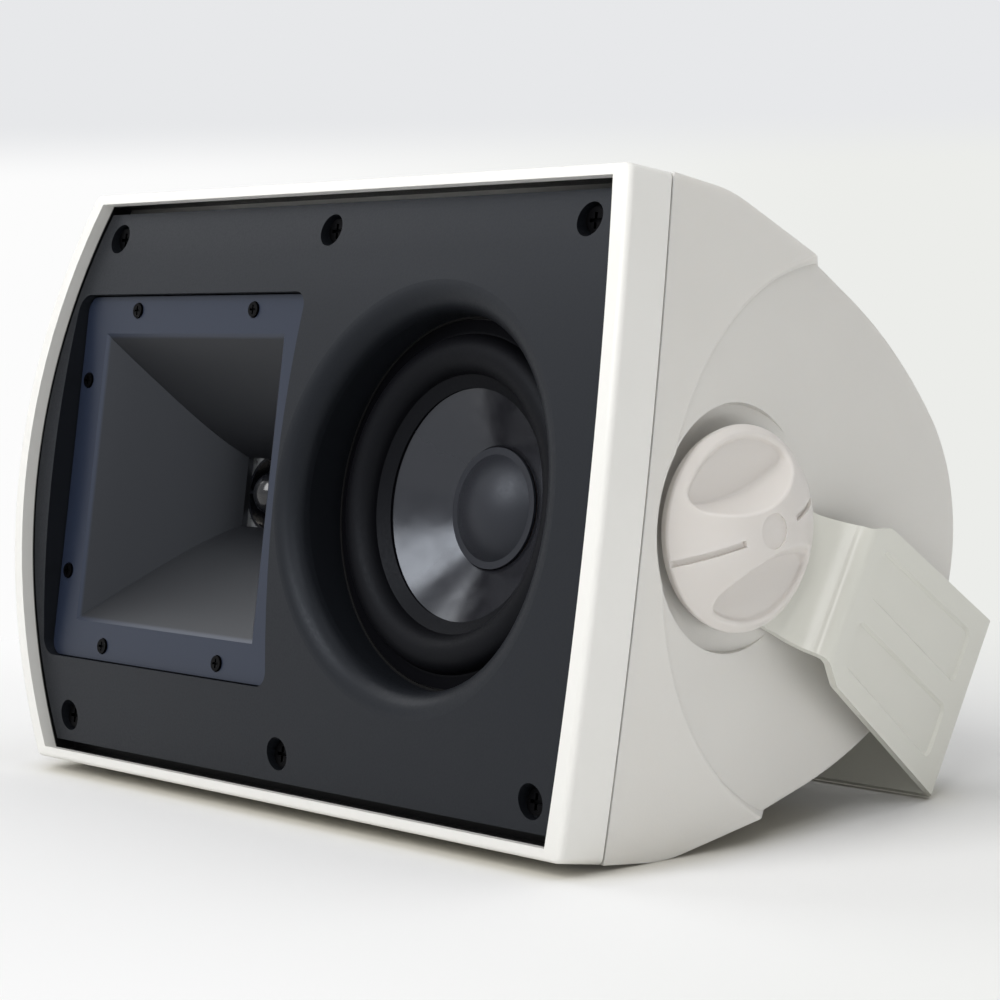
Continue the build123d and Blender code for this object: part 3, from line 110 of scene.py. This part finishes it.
def let_light_in(material):
    """Light sinks a few millimetres into white plastic, which softens its shadows and edges."""
    skin = material.node_tree.nodes["Principled BSDF"].inputs
    skin["Subsurface Weight"].default_value = 0.5
    skin["Subsurface Radius"].default_value = (1.0, 0.95, 0.9)
    skin["Subsurface Scale"].default_value = LIGHT_SINKS_IN


def dress(material, *names):
    """Give CAD nodes this material all over."""
    for name in names:
        mesh = nodes[name].data
        mesh.materials.clear()
        mesh.materials.append(material)
        for face in mesh.polygons:
            face.material_index = 0


housing_asa = moulded(
    "asa_moulded_warm_white", "#e0ded9", "#dbd9d4", roughness=0.46, grain_mm=0.6, depth_mm=0.06
)
let_light_in(housing_asa)
dress(housing_asa, "rear_housing")


# Front bezel: the bulged white rim, moulded in the same ASA from a smoother tool.
# It is a shade whiter and a little glossier than the housing, so its rounded edges catch light.
# Deeper than its lip, where the rim's inner wall looks in at the baffle, its colour is painted black:
# painted shade in the gap round the baffle.
FACE_AXIS = (0.0, 0.326660, 0.031635)
FACE_RADIUS = 0.4215
PAINTED_SHADE_DEPTH = 0.0041
PAINTED_SHADE_FADE = 0.0004
CABINET_MIDDLE = (0.0, 0.0, 0.095)
LEVEL_WITH_FACE = (0.0, 1.0, 1.0)
AROUND_THE_RIM = (1.0, 0.0, 1.0)
FACES_IN = 0.2
FACES_OUT = 0.3
bezel_asa = moulded(
    "asa_moulded_white", "#ecebe7", "#e8e7e2", roughness=0.38, grain_mm=0.5, depth_mm=0.03
)
tree = bezel_asa.node_tree
shader = tree.nodes["Principled BSDF"]
plain = shader.inputs["Base Color"].links[0].from_socket
# The painted shade falls on points that lie deep enough behind the bulged face and look in at the baffle.
coords = add(tree, "TexCoord")
from_axis = add(tree, "VectorMath", {0: coords.outputs["Object"], 1: FACE_AXIS}, operation="SUBTRACT")
level = add(tree, "VectorMath", {0: from_axis.outputs["Vector"], 1: LEVEL_WITH_FACE}, operation="MULTIPLY")
reach = add(tree, "VectorMath", {0: level.outputs["Vector"]}, operation="LENGTH")
deep = add(
    tree,
    "MapRange",
    {"Value": reach.outputs["Value"], "From Min": FACE_RADIUS - PAINTED_SHADE_DEPTH - PAINTED_SHADE_FADE,
     "From Max": FACE_RADIUS - PAINTED_SHADE_DEPTH, "To Min": 1.0, "To Max": 0.0},
)
spoke = add(tree, "VectorMath", {0: coords.outputs["Object"], 1: CABINET_MIDDLE}, operation="SUBTRACT")
around = add(tree, "VectorMath", {0: spoke.outputs["Vector"], 1: AROUND_THE_RIM}, operation="MULTIPLY")
outward = add(tree, "VectorMath", {0: around.outputs["Vector"]}, operation="NORMALIZE")
facing = add(
    tree,
    "VectorMath",
    {0: coords.outputs["Normal"], 1: outward.outputs["Vector"]},
    operation="DOT_PRODUCT",
)
inside = add(
    tree,
    "MapRange",
    {"Value": facing.outputs["Value"], "From Min": FACES_IN, "From Max": FACES_OUT,
     "To Min": 1.0, "To Max": 0.0},
)
painted_shade_gap = add(tree, "Math", {0: deep.outputs["Result"], 1: inside.outputs["Result"]}, operation="MULTIPLY")
# Painted shade: the rim's colour turns black in the gap round the baffle.
tone = add(
    tree,
    "Mix",
    {"Factor": painted_shade_gap.outputs["Value"], "A": plain, "B": linear("#0b0b0c")},
    data_type="RGBA",
)
tree.links.new(tone.outputs["Result"], shader.inputs["Base Color"])
dress(bezel_asa, "front_bezel")


# Gaskets of the baffle, horn and woofer: closed-cell neoprene foam, cut to the joint's outline.
# Their cut edge is dead matt and full of small cells.
foam = moulded(
    "neoprene_foam_cut", "#0b0b0c", "#111112",
    roughness=0.9, grain_mm=1.0, depth_mm=0.25, cloud_mm=20.0, ior=1.3,
)
dress(foam, "baffle_gasket", "horn_gasket", "woofer_gasket")


# Baffle: the sunk charcoal board, moulded ABS with a satin texture, screwed down on six bosses.
# It reflects the pale room softly, so that it looks grey-blue where it faces the light.
# The rounded lip round the woofer is given less shine by a mask, so that it doesn't shine as a ring:
# painted shade on the lip.
LEAN = math.radians(9.368411)
BACK_WAY = (0.0, math.cos(LEAN), -math.sin(LEAN))
WOOFER_AXIS_AT = (0.0585, -0.035445, 0.091376)
LIP_OUTER = 0.0626
LIP_FADE = 0.003
LIP_SHEEN = 0.36
BOARD_SHEEN = 0.5


def off_woofer_axis(tree):
    """How far the point is from the woofer's axis, in metres."""
    place = add(tree, "TexCoord").outputs["Object"]
    offset = add(tree, "VectorMath", {0: place, 1: WOOFER_AXIS_AT}, operation="SUBTRACT")
    square_on = add(
        tree, "VectorMath", {0: offset.outputs["Vector"], 1: BACK_WAY}, operation="CROSS_PRODUCT"
    )
    return add(tree, "VectorMath", {0: square_on.outputs["Vector"]}, operation="LENGTH").outputs["Value"]


baffle_abs = moulded(
    "abs_moulded_charcoal", "#131519", "#16181c",
    roughness=0.42, grain_mm=0.7, depth_mm=0.04, cloud_mm=60.0, ior=1.33,
)
tree = baffle_abs.node_tree
# Painted shade: inside the lip's outer edge the baffle's shine is turned down.
painted_shade_lip = add(
    tree,
    "MapRange",
    {"Value": off_woofer_axis(tree), "From Min": LIP_OUTER - LIP_FADE, "From Max": LIP_OUTER,
     "To Min": LIP_SHEEN, "To Max": BOARD_SHEEN},
)
tree.links.new(painted_shade_lip.outputs["Result"], tree.nodes["Principled BSDF"].inputs["Specular IOR Level"])
dress(baffle_abs, "baffle")


# Screws of the baffle, horn, woofer, driver, terminal cup and crossover: pan heads, black zinc.
# The plating is thin, so that it is a dark metal with a slightly mottled shine.
def plated(name, colour, second, roughness, spot_mm):
    """Plated or bare metal: a mottled tone and a shine that wanders with it."""
    smoother = 0.06
    rougher = 0.08
    material, tree, shader, place = start_finish(name)
    spots = add(tree, "TexNoise", {"Vector": place, "Scale": per_metre(spot_mm), "Detail": 4.0})
    tone = add(
        tree,
        "Mix",
        {"Factor": spots.outputs["Fac"], "A": linear(colour), "B": linear(second)},
        data_type="RGBA",
    )
    shine = add(
        tree,
        "MapRange",
        {"Value": spots.outputs["Fac"], "From Min": NOISE_LOW, "From Max": NOISE_HIGH,
         "To Min": roughness - smoother, "To Max": roughness + rougher},
    )
    tree.links.new(tone.outputs["Result"], shader.inputs["Base Color"])
    tree.links.new(shine.outputs["Result"], shader.inputs["Roughness"])
    shader.inputs["Metallic"].default_value = 1.0
    return material


black_zinc = plated("steel_black_zinc", "#080809", "#0e0e10", roughness=0.5, spot_mm=1.2)
dress(
    black_zinc,
    "baffle_screws",
    "horn_screws",
    "woofer_screws",
    "driver_screws",
    "terminal_screws",
    "crossover_screws",
)


# Horn: one moulding in glass-filled ABS, a bluish satin flange around a flare with four creased corners.
# The flare's walls are drier than the flange, which keeps the tool's polish, and their colour is painted
# darker and less blue: painted shade inside the flare.
FLANGE_FRONT_AT = -0.092445
FLANGE_FADES_FROM = 0.0004
FLANGE_FADES_TO = 0.0010
FLARE_ROUGHNESS = 0.42
FLANGE_ROUGHNESS = 0.36
FLARE_SHEEN = 0.34
FLANGE_SHEEN = 0.47
HORN_GRAIN_MM = 0.6
HORN_GRAIN_DEPTH = 0.00004
horn_abs, tree, shader, place = start_finish("glass_filled_abs_horn")
depth = add(tree, "VectorMath", {0: place, 1: BACK_WAY}, operation="DOT_PRODUCT")
on_flange = add(
    tree,
    "MapRange",
    {"Value": depth.outputs["Value"], "From Min": FLANGE_FRONT_AT + FLANGE_FADES_FROM,
     "From Max": FLANGE_FRONT_AT + FLANGE_FADES_TO, "To Min": 1.0, "To Max": 0.0},
)
grain = add(tree, "TexNoise", {"Vector": place, "Scale": per_metre(HORN_GRAIN_MM), "Detail": 2.0})
# Painted shade: the flare gets a darker colour than the flange.
tone = add(
    tree,
    "Mix",
    {"Factor": on_flange.outputs["Result"], "A": linear("#17181b"), "B": linear("#1d2434")},
    data_type="RGBA",
)
shine = add(
    tree,
    "MapRange",
    {"Value": on_flange.outputs["Result"], "From Min": 0.0, "From Max": 1.0,
     "To Min": FLARE_ROUGHNESS, "To Max": FLANGE_ROUGHNESS},
)
polish = add(
    tree,
    "MapRange",
    {"Value": on_flange.outputs["Result"], "From Min": 0.0, "From Max": 1.0,
     "To Min": FLARE_SHEEN, "To Max": FLANGE_SHEEN},
)
bump = add(tree, "Bump", {"Height": grain.outputs["Fac"], "Strength": 0.3, "Distance": HORN_GRAIN_DEPTH})
tree.links.new(tone.outputs["Result"], shader.inputs["Base Color"])
tree.links.new(shine.outputs["Result"], shader.inputs["Roughness"])
tree.links.new(polish.outputs["Result"], shader.inputs["Specular IOR Level"])
tree.links.new(bump.outputs["Normal"], shader.inputs["Normal"])
dress(horn_abs, "horn")


# Compression driver: steel plates, a ferrite ring magnet and a foil diaphragm behind the throat.
# The phase plug in its bore is polished black plastic, and its nose shows in the throat.
# The woofer's plates and magnet and the nuts of the posts have the same steel and ferrite.
bright_steel = plated("steel_bright_zinc", "#a9abad", "#bfc1c3", roughness=0.3, spot_mm=2.5)
foil = plated("titanium_foil", "#a8a39c", "#b8b4ae", roughness=0.24, spot_mm=1.5)
ferrite = moulded(
    "ferrite_sintered", "#2a2a2c", "#343436",
    roughness=0.6, grain_mm=0.8, depth_mm=0.05, cloud_mm=12.0, ior=1.6,
)
plug_plastic = moulded(
    "polycarbonate_polished_black", "#0c0d10", "#121318",
    roughness=0.12, grain_mm=2.0, depth_mm=0.004, cloud_mm=20.0, ior=1.58,
)
dress(
    bright_steel,
    "driver_front_plate",
    "driver_top_plate",
    "driver_back_plate",
    "woofer_top_plate",
    "woofer_back_plate",
    "terminal_nuts",
)
dress(ferrite, "driver_magnet", "woofer_magnet")
dress(foil, "driver_diaphragm")
dress(plug_plastic, "phase_plug")


# Woofer: a stamped basket in black paint, with a rubber half-roll surround glued to a moulded cone.
# The rubber is matt, and its glued rim is given almost no shine: painted shade on the rim. The cone is
# polypropylene with a hard shine, so light lies on it in wedges. Baffle, horn, rubber, cone and cap mirror
# the light slightly blue.
ROLL_OUTER = 0.0500
ROLL_FADE = 0.0006
ROLL_SHEEN = 0.18
RIM_SHINE_PAINTED_SHADE = 0.05
BLUISH = (0.84, 0.9, 1.0, 1.0)
basket_paint = moulded(
    "basket_epoxy_paint", "#161618", "#1d1d20",
    roughness=0.4, grain_mm=0.9, depth_mm=0.05, cloud_mm=25.0, ior=1.5,
)
rubber = moulded(
    "butyl_rubber_moulded", "#08080b", "#0b0b0e",
    roughness=0.5, grain_mm=0.8, depth_mm=0.03, cloud_mm=30.0, ior=1.36,
)
tree = rubber.node_tree
# Painted shade: outside the roll the rubber's shine is cut almost to nothing.
painted_shade_rim = add(
    tree,
    "MapRange",
    {"Value": off_woofer_axis(tree), "From Min": ROLL_OUTER, "From Max": ROLL_OUTER + ROLL_FADE,
     "To Min": ROLL_SHEEN, "To Max": RIM_SHINE_PAINTED_SHADE},
)
tree.links.new(painted_shade_rim.outputs["Result"], tree.nodes["Principled BSDF"].inputs["Specular IOR Level"])
cone_plastic = moulded(
    "polypropylene_cone", "#1e1e22", "#212125",
    roughness=0.2, grain_mm=6.0, depth_mm=0.004, cloud_mm=30.0, ior=1.54,
)
cap_plastic = moulded(
    "dust_cap_coated", "#1e1f24", "#24252a",
    roughness=0.42, grain_mm=0.7, depth_mm=0.03, cloud_mm=20.0, ior=1.42,
)
for finish in (rubber, cone_plastic, cap_plastic, baffle_abs, horn_abs):
    finish.node_tree.nodes["Principled BSDF"].inputs["Specular Tint"].default_value = BLUISH
cloth = moulded(
    "spider_cotton_phenolic", "#8a6a3a", "#a37f49",
    roughness=0.8, grain_mm=0.5, depth_mm=0.15, cloud_mm=10.0, ior=1.5,
)
copper = plated("copper_enamelled_wire", "#b5683a", "#c97a45", roughness=0.3, spot_mm=0.8)
dress(basket_paint, "woofer_basket")
dress(rubber, "woofer_surround")
dress(cone_plastic, "woofer_cone")
dress(cap_plastic, "dust_cap")
dress(cloth, "woofer_spider")
dress(copper, "voice_coil", "crossover_inductors")


# Terminal cup: a tray in black ABS, screwed into the back, with two gilt binding posts.
# Each post has a nylon cap that screws down on the wire, one red and one black.
# The threaded inserts that hold the knobs' studs have the posts' gilt brass.
cup_abs = moulded(
    "abs_moulded_black", "#17181a", "#1d1e20",
    roughness=0.42, grain_mm=0.6, depth_mm=0.05, cloud_mm=30.0, ior=1.53,
)
gilt = plated("brass_gilt", "#c9a24a", "#d8b45c", roughness=0.22, spot_mm=1.5)
red_cap = moulded(
    "nylon_moulded_red", "#a01c1a", "#ad2420",
    roughness=0.36, grain_mm=0.6, depth_mm=0.03, cloud_mm=15.0, ior=1.53,
)
black_cap = moulded(
    "nylon_moulded_black", "#151517", "#1b1b1d",
    roughness=0.36, grain_mm=0.6, depth_mm=0.03, cloud_mm=15.0, ior=1.53,
)
dress(cup_abs, "terminal_cup")
dress(gilt, "binding_posts", "clamp_inserts")
dress(red_cap, "red_post_cap")
dress(black_cap, "black_post_cap")


# Polarity marks: a plus above the red post and a minus above the black one, raised on the cup's plate.
# They are moulded with the cup and their tops are rolled with white ink, so that they read at a glance.
CLAMP_AXIS_AT = (0.0, -0.035445, 0.091376)
PLATE_FACE_AT = 0.115
POST_AT = 0.0095
MARK_UP = 0.017
MARK_LENGTH = 0.0052
MARK_WIDTH = 0.0013
MARK_HEIGHT = 0.0010
MARK_EDGE = 0.00015
upright = Matrix.Translation(CLAMP_AXIS_AT) @ Matrix.Rotation(-LEAN, 4, "X")
ink = moulded(
    "pad_ink_white", "#e6e4de", "#dedbd3",
    roughness=0.5, grain_mm=0.5, depth_mm=0.02, cloud_mm=6.0, ior=1.5,
)
for name, side, bars in (
    ("plus_mark", 1, ((MARK_LENGTH, MARK_WIDTH), (MARK_WIDTH, MARK_LENGTH))),
    ("minus_mark", -1, ((MARK_LENGTH, MARK_WIDTH),)),
):
    shape = bmesh.new()
    for length, tall in bars:
        centre = Matrix.Translation((side * POST_AT, PLATE_FACE_AT, MARK_UP))
        size = Matrix.Diagonal((length, MARK_HEIGHT, tall, 1.0))
        bmesh.ops.create_cube(shape, matrix=upright @ centre @ size)
    bmesh.ops.bevel(shape, geom=shape.edges[:], offset=MARK_EDGE, segments=2, affect="EDGES")
    mark_mesh = bpy.data.meshes.new(name)
    shape.to_mesh(mark_mesh)
    shape.free()
    mark_mesh.materials.append(ink)
    mark = bpy.data.objects.new(name, mark_mesh)
    bpy.context.scene.collection.objects.link(mark)
    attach(mark, "cabinet")


# Crossover: a green glass-epoxy board on posts inside the right end, with its parts soldered on.
# They are film capacitors in red resin, white cement resistors and the coils, which have the
# voice coil's copper. Leads in red PVC run to the posts, the woofer and the driver.
laminate = moulded(
    "glass_epoxy_board", "#1f5a34", "#2a6a3e",
    roughness=0.3, grain_mm=0.8, depth_mm=0.02, cloud_mm=8.0, ior=1.55,
)
film = moulded(
    "film_capacitor_resin", "#8c1f1c", "#9a2824",
    roughness=0.28, grain_mm=1.0, depth_mm=0.02, cloud_mm=10.0, ior=1.5,
)
ceramic = moulded(
    "cement_resistor_ceramic", "#d8d4c8", "#cfcabc",
    roughness=0.6, grain_mm=0.5, depth_mm=0.05, cloud_mm=8.0, ior=1.55,
)
insulation = moulded(
    "pvc_lead_insulation", "#7a1512", "#8a1a16",
    roughness=0.35, grain_mm=0.8, depth_mm=0.02, cloud_mm=10.0, ior=1.54,
)
dress(laminate, "crossover_board")
dress(film, "crossover_capacitors")
dress(ceramic, "crossover_resistors")
dress(insulation, "input_leads", "woofer_leads", "driver_leads")


# Clamp washers: black rubber friction washers between cabinet and bracket, pressed by the knobs.
# Under each knob a thrust washer in natural nylon, waxy and off-white, lets it turn.
washer_rubber = moulded(
    "nitrile_washer", "#1a1a1b", "#212122",
    roughness=0.6, grain_mm=0.6, depth_mm=0.05, cloud_mm=12.0, ior=1.52,
)
washer_nylon = moulded(
    "nylon_washer_natural", "#d9d5c9", "#cfcabd",
    roughness=0.4, grain_mm=0.8, depth_mm=0.02, cloud_mm=15.0, ior=1.53,
)
dress(washer_rubber, "friction_washers")
dress(washer_nylon, "right_thrust_washer", "left_thrust_washer")


# Knob studs: M8 steel screws moulded into the knobs, in bright zinc with a rolled thread.
# The thread's 1.25 mm pitch is drawn as a bump along the stud, so that it glints in fine rings.
# At a scale of 1 the bands of the wave texture repeat every tau / 20 metres.
THREAD_PITCH = 0.00125
THREAD_DEPTH = 0.0006
BAND_AT_SCALE_ONE = math.tau / 20.0
threaded = plated("steel_bright_zinc_threaded", "#a9abad", "#bfc1c3", roughness=0.3, spot_mm=2.5)
tree = threaded.node_tree
rings = add(
    tree,
    "TexWave",
    {"Vector": add(tree, "TexCoord").outputs["Object"], "Scale": BAND_AT_SCALE_ONE / THREAD_PITCH},
    bands_direction="X",
)
bump = add(tree, "Bump", {"Height": rings.outputs["Fac"], "Strength": 1.0, "Distance": THREAD_DEPTH})
tree.links.new(bump.outputs["Normal"], tree.nodes["Principled BSDF"].inputs["Normal"])
dress(threaded, "right_knob_stud", "left_knob_stud")


# Bracket: bent steel sheet with a baked powder coat in grey-white, held by the two knobs.
# The coat is even and half glossy, with the slow waviness that powder has, about 2 mm from crest to crest.
COAT_CLOUD_MM = 60.0
COAT_WAVE_MM = 2.0
COAT_WAVE_DEPTH = 0.00006
powder, tree, shader, place = start_finish("steel_powder_coat_grey_white")
cloud = add(tree, "TexNoise", {"Vector": place, "Scale": per_metre(COAT_CLOUD_MM), "Detail": 2.0})
tone = add(
    tree,
    "Mix",
    {"Factor": cloud.outputs["Fac"], "A": linear("#dcdcd3"), "B": linear("#d7d6cd")},
    data_type="RGBA",
)
waves = add(tree, "TexNoise", {"Vector": place, "Scale": per_metre(COAT_WAVE_MM), "Detail": 1.0})
bump = add(tree, "Bump", {"Height": waves.outputs["Fac"], "Strength": 0.2, "Distance": COAT_WAVE_DEPTH})
tree.links.new(tone.outputs["Result"], shader.inputs["Base Color"])
tree.links.new(bump.outputs["Normal"], shader.inputs["Normal"])
shader.inputs["Roughness"].default_value = 0.28
shader.inputs["IOR"].default_value = 1.5
dress(powder, "bracket")


# Knobs: moulded in warm white ABS, each over its steel stud, with a dry satin grip.
# Light sinks into them as into the housing, so that the scoops are shaded softly.
knob_abs = moulded(
    "abs_moulded_ivory_white", "#dcd8d3", "#d8d3ce", roughness=0.42, grain_mm=0.6, depth_mm=0.03
)
let_light_in(knob_abs)
dress(knob_abs, "right_knob", "left_knob")


# Floor: a wide sheet of white paper that keeps the shadow and runs out into the pale room.
# Its colour is painted darker and warmer close round the speaker's parts: a painted contact shadow. From
# 12 cm out, rays from the camera and from mirrors see the room's own tone glowing there, which hides the
# edge between floor and room and paints light over the speaker's cast shadows close by.
FLOOR_HALF = 9.0
PAINTED_SHADOW_REACH = 0.024
PAINTED_SHADOW_DARK = 0.3
PAINTED_SHADOW_CLEAR = 0.9
ROOM_TONE_FROM = 0.12
ROOM_TONE_TO = 0.45
UNDER_LENS = (0.682, -0.594, 0.0)
ACROSS_VIEW = (0.659, 0.752, 0.0)
SIDE_FADE = 0.14


def low_wall_tone(tree, way):
    """The room's tone low down in this direction: white on the left, light grey on the right."""
    across = add(tree, "VectorMath", {0: way, 1: ACROSS_VIEW}, operation="DOT_PRODUCT")
    aside = add(
        tree,
        "MapRange",
        {"Value": across.outputs["Value"], "From Min": -SIDE_FADE, "From Max": SIDE_FADE,
         "To Min": 0.0, "To Max": 1.0},
        interpolation_type="SMOOTHSTEP",
    )
    tone = add(
        tree,
        "Mix",
        {"Factor": aside.outputs["Result"], "A": linear("#fcfcfc"), "B": linear("#ecedea")},
        data_type="RGBA",
    )
    return tone.outputs["Result"]


def sees_background(tree):
    """1 for rays from the camera and through mirrors and glass, 0 for rays that only bring light."""
    ray = add(tree, "LightPath").outputs
    mirrored = add(
        tree, "Math", {0: ray["Is Glossy Ray"], 1: ray["Is Transmission Ray"]}, operation="MAXIMUM"
    )
    seen = add(tree, "Math", {0: ray["Is Camera Ray"], 1: mirrored.outputs["Value"]}, operation="MAXIMUM")
    return seen.outputs["Value"]


floor_mesh = bpy.data.meshes.new("floor")
floor_mesh.from_pydata(
    [(x * FLOOR_HALF, y * FLOOR_HALF, 0.0) for x, y in ((-1, -1), (1, -1), (1, 1), (-1, 1))],
    [],
    [(0, 1, 2, 3)],
)
floor = bpy.data.objects.new("floor", floor_mesh)
bpy.context.scene.collection.objects.link(floor)
paper, tree, shader, place = start_finish("paper_floor_white")
# Painted contact shadow: the floor's colour darkens where nearby parts hide it from the room.
hidden = add(tree, "AmbientOcclusion", {"Distance": PAINTED_SHADOW_REACH}, samples=8)
painted_contact_shadow = add(
    tree,
    "MapRange",
    {"Value": hidden.outputs["AO"], "From Min": PAINTED_SHADOW_DARK, "From Max": PAINTED_SHADOW_CLEAR,
     "To Min": 0.0, "To Max": 1.0},
    interpolation_type="SMOOTHSTEP",
)
sheet_with_painted_shadow = add(
    tree,
    "Mix",
    {"Factor": painted_contact_shadow.outputs["Result"], "A": linear("#d2cfc6"), "B": linear("#eeeeee")},
    data_type="RGBA",
)
tree.links.new(sheet_with_painted_shadow.outputs["Result"], shader.inputs["Base Color"])
shader.inputs["Roughness"].default_value = 0.8
shader.inputs["Specular IOR Level"].default_value = 0.1
from_lens = add(tree, "VectorMath", {0: place, 1: UNDER_LENS}, operation="SUBTRACT")
outward = add(tree, "VectorMath", {0: from_lens.outputs["Vector"]}, operation="NORMALIZE")
far_tone = low_wall_tone(tree, outward.outputs["Vector"])
glow = add(tree, "Emission", {"Color": far_tone, "Strength": 1.0})
# Painted light: from 12 cm out the floor glows with the room's tone for rays from the camera and mirrors,
# which also lightens the speaker's cast shadows near it.
away = add(tree, "VectorMath", {0: place}, operation="LENGTH")
far = add(
    tree,
    "MapRange",
    {"Value": away.outputs["Value"], "From Min": ROOM_TONE_FROM, "From Max": ROOM_TONE_TO,
     "To Min": 0.0, "To Max": 1.0},
    interpolation_type="SMOOTHSTEP",
)
share = add(tree, "Math", {0: far.outputs["Result"], 1: sees_background(tree)}, operation="MULTIPLY")
mixed = add(
    tree,
    "MixShader",
    {"Fac": share.outputs["Value"], 1: shader.outputs["BSDF"], 2: glow.outputs["Emission"]},
)
tree.links.new(mixed.outputs["Shader"], tree.nodes["Material Output"].inputs["Surface"])
floor_mesh.materials.append(paper)


# Room: an even pale light all round, which fills the shadows.
# What is seen of it is palest at the floor's edge, with a light grey wall above.
WALL_FROM = 0.036
WALL_TO = 0.058
FILL_LIGHT = 0.29
world = bpy.data.worlds.new("pale_room")
world.use_nodes = True
bpy.context.scene.world = world
tree = world.node_tree
tree.nodes.clear()
way = add(tree, "TexCoord").outputs["Generated"]
height = add(tree, "SeparateXYZ", {"Vector": way})
rise = add(
    tree,
    "MapRange",
    {"Value": height.outputs["Z"], "From Min": WALL_FROM, "From Max": WALL_TO,
     "To Min": 0.0, "To Max": 1.0},
    interpolation_type="SMOOTHSTEP",
)
wall = add(
    tree,
    "Mix",
    {"Factor": rise.outputs["Result"], "A": low_wall_tone(tree, way), "B": linear("#e7e8ea")},
    data_type="RGBA",
)
shown = add(tree, "Background", {"Color": wall.outputs["Result"], "Strength": 1.0})
light = add(tree, "Background", {"Color": linear("#ffffff"), "Strength": FILL_LIGHT})
both = add(
    tree,
    "MixShader",
    {"Fac": sees_background(tree), 1: light.outputs["Background"], 2: shown.outputs["Background"]},
)
out = add(tree, "OutputWorld")
tree.links.new(both.outputs["Shader"], out.inputs["Surface"])


# Lamps: a large soft box in front lights the face, with another on the left and another above.
# A small one in front on the right lights the end with the knob and the bracket.
# A low card by that end throws a little light on the lower part of the drum.
CABINET_HEART = (0.0, 0.0, 0.09)


def soft_box(name, place, target, width, height, power):
    """A rectangular lamp at a place, turned to a target; sizes in metres, power in watts."""
    lamp = bpy.data.lights.new(name, "AREA")
    lamp.shape = "RECTANGLE"
    lamp.size = width
    lamp.size_y = height
    lamp.energy = power
    holder = bpy.data.objects.new(name, lamp)
    bpy.context.scene.collection.objects.link(holder)
    aim = Vector(target) - Vector(place)
    holder.matrix_world = Matrix.Translation(place) @ aim.to_track_quat("-Z", "Y").to_matrix().to_4x4()


soft_box("front_box", (-0.05, -1.55, 1.3), CABINET_HEART, width=0.9, height=1.1, power=21.0)
soft_box("left_box", (-1.5, -0.3, 1.5), CABINET_HEART, width=1.3, height=1.3, power=11.0)
soft_box("top_box", (0.5, 0.4, 1.9), (0.2, 0.1, 0.0), width=1.2, height=1.2, power=8.5)
soft_box("right_box", (1.0, -1.15, 1.15), (0.1, 0.0, 0.09), width=0.4, height=0.4, power=4.3)
soft_box("right_card", (0.43, -0.03, 0.03), (0.145, 0.0, 0.03), width=0.4, height=0.06, power=0.14)


# Camera: where the picture was taken from, a long lens low in front of the speaker's right end.
# Its place and its three directions were fitted to points of the photo.
CAMERA_AT = (0.68168, -0.59371, 0.1611)
camera = bpy.data.objects.new("camera", bpy.data.cameras.new("camera"))
bpy.context.scene.collection.objects.link(camera)
camera.data.lens = 101.42
camera.data.sensor_width = 36.0
right = Vector((0.658858, 0.751993, -0.020292))
up = Vector((-0.045331, 0.066613, 0.996749))
ahead = Vector((-0.7509, 0.655796, -0.077977))
turned = Matrix((right, up, -ahead)).transposed().to_4x4()
camera.matrix_world = Matrix.Translation(CAMERA_AT) @ turned
bpy.context.scene.camera = camera
bpy.context.scene.view_settings.view_transform = "Standard"
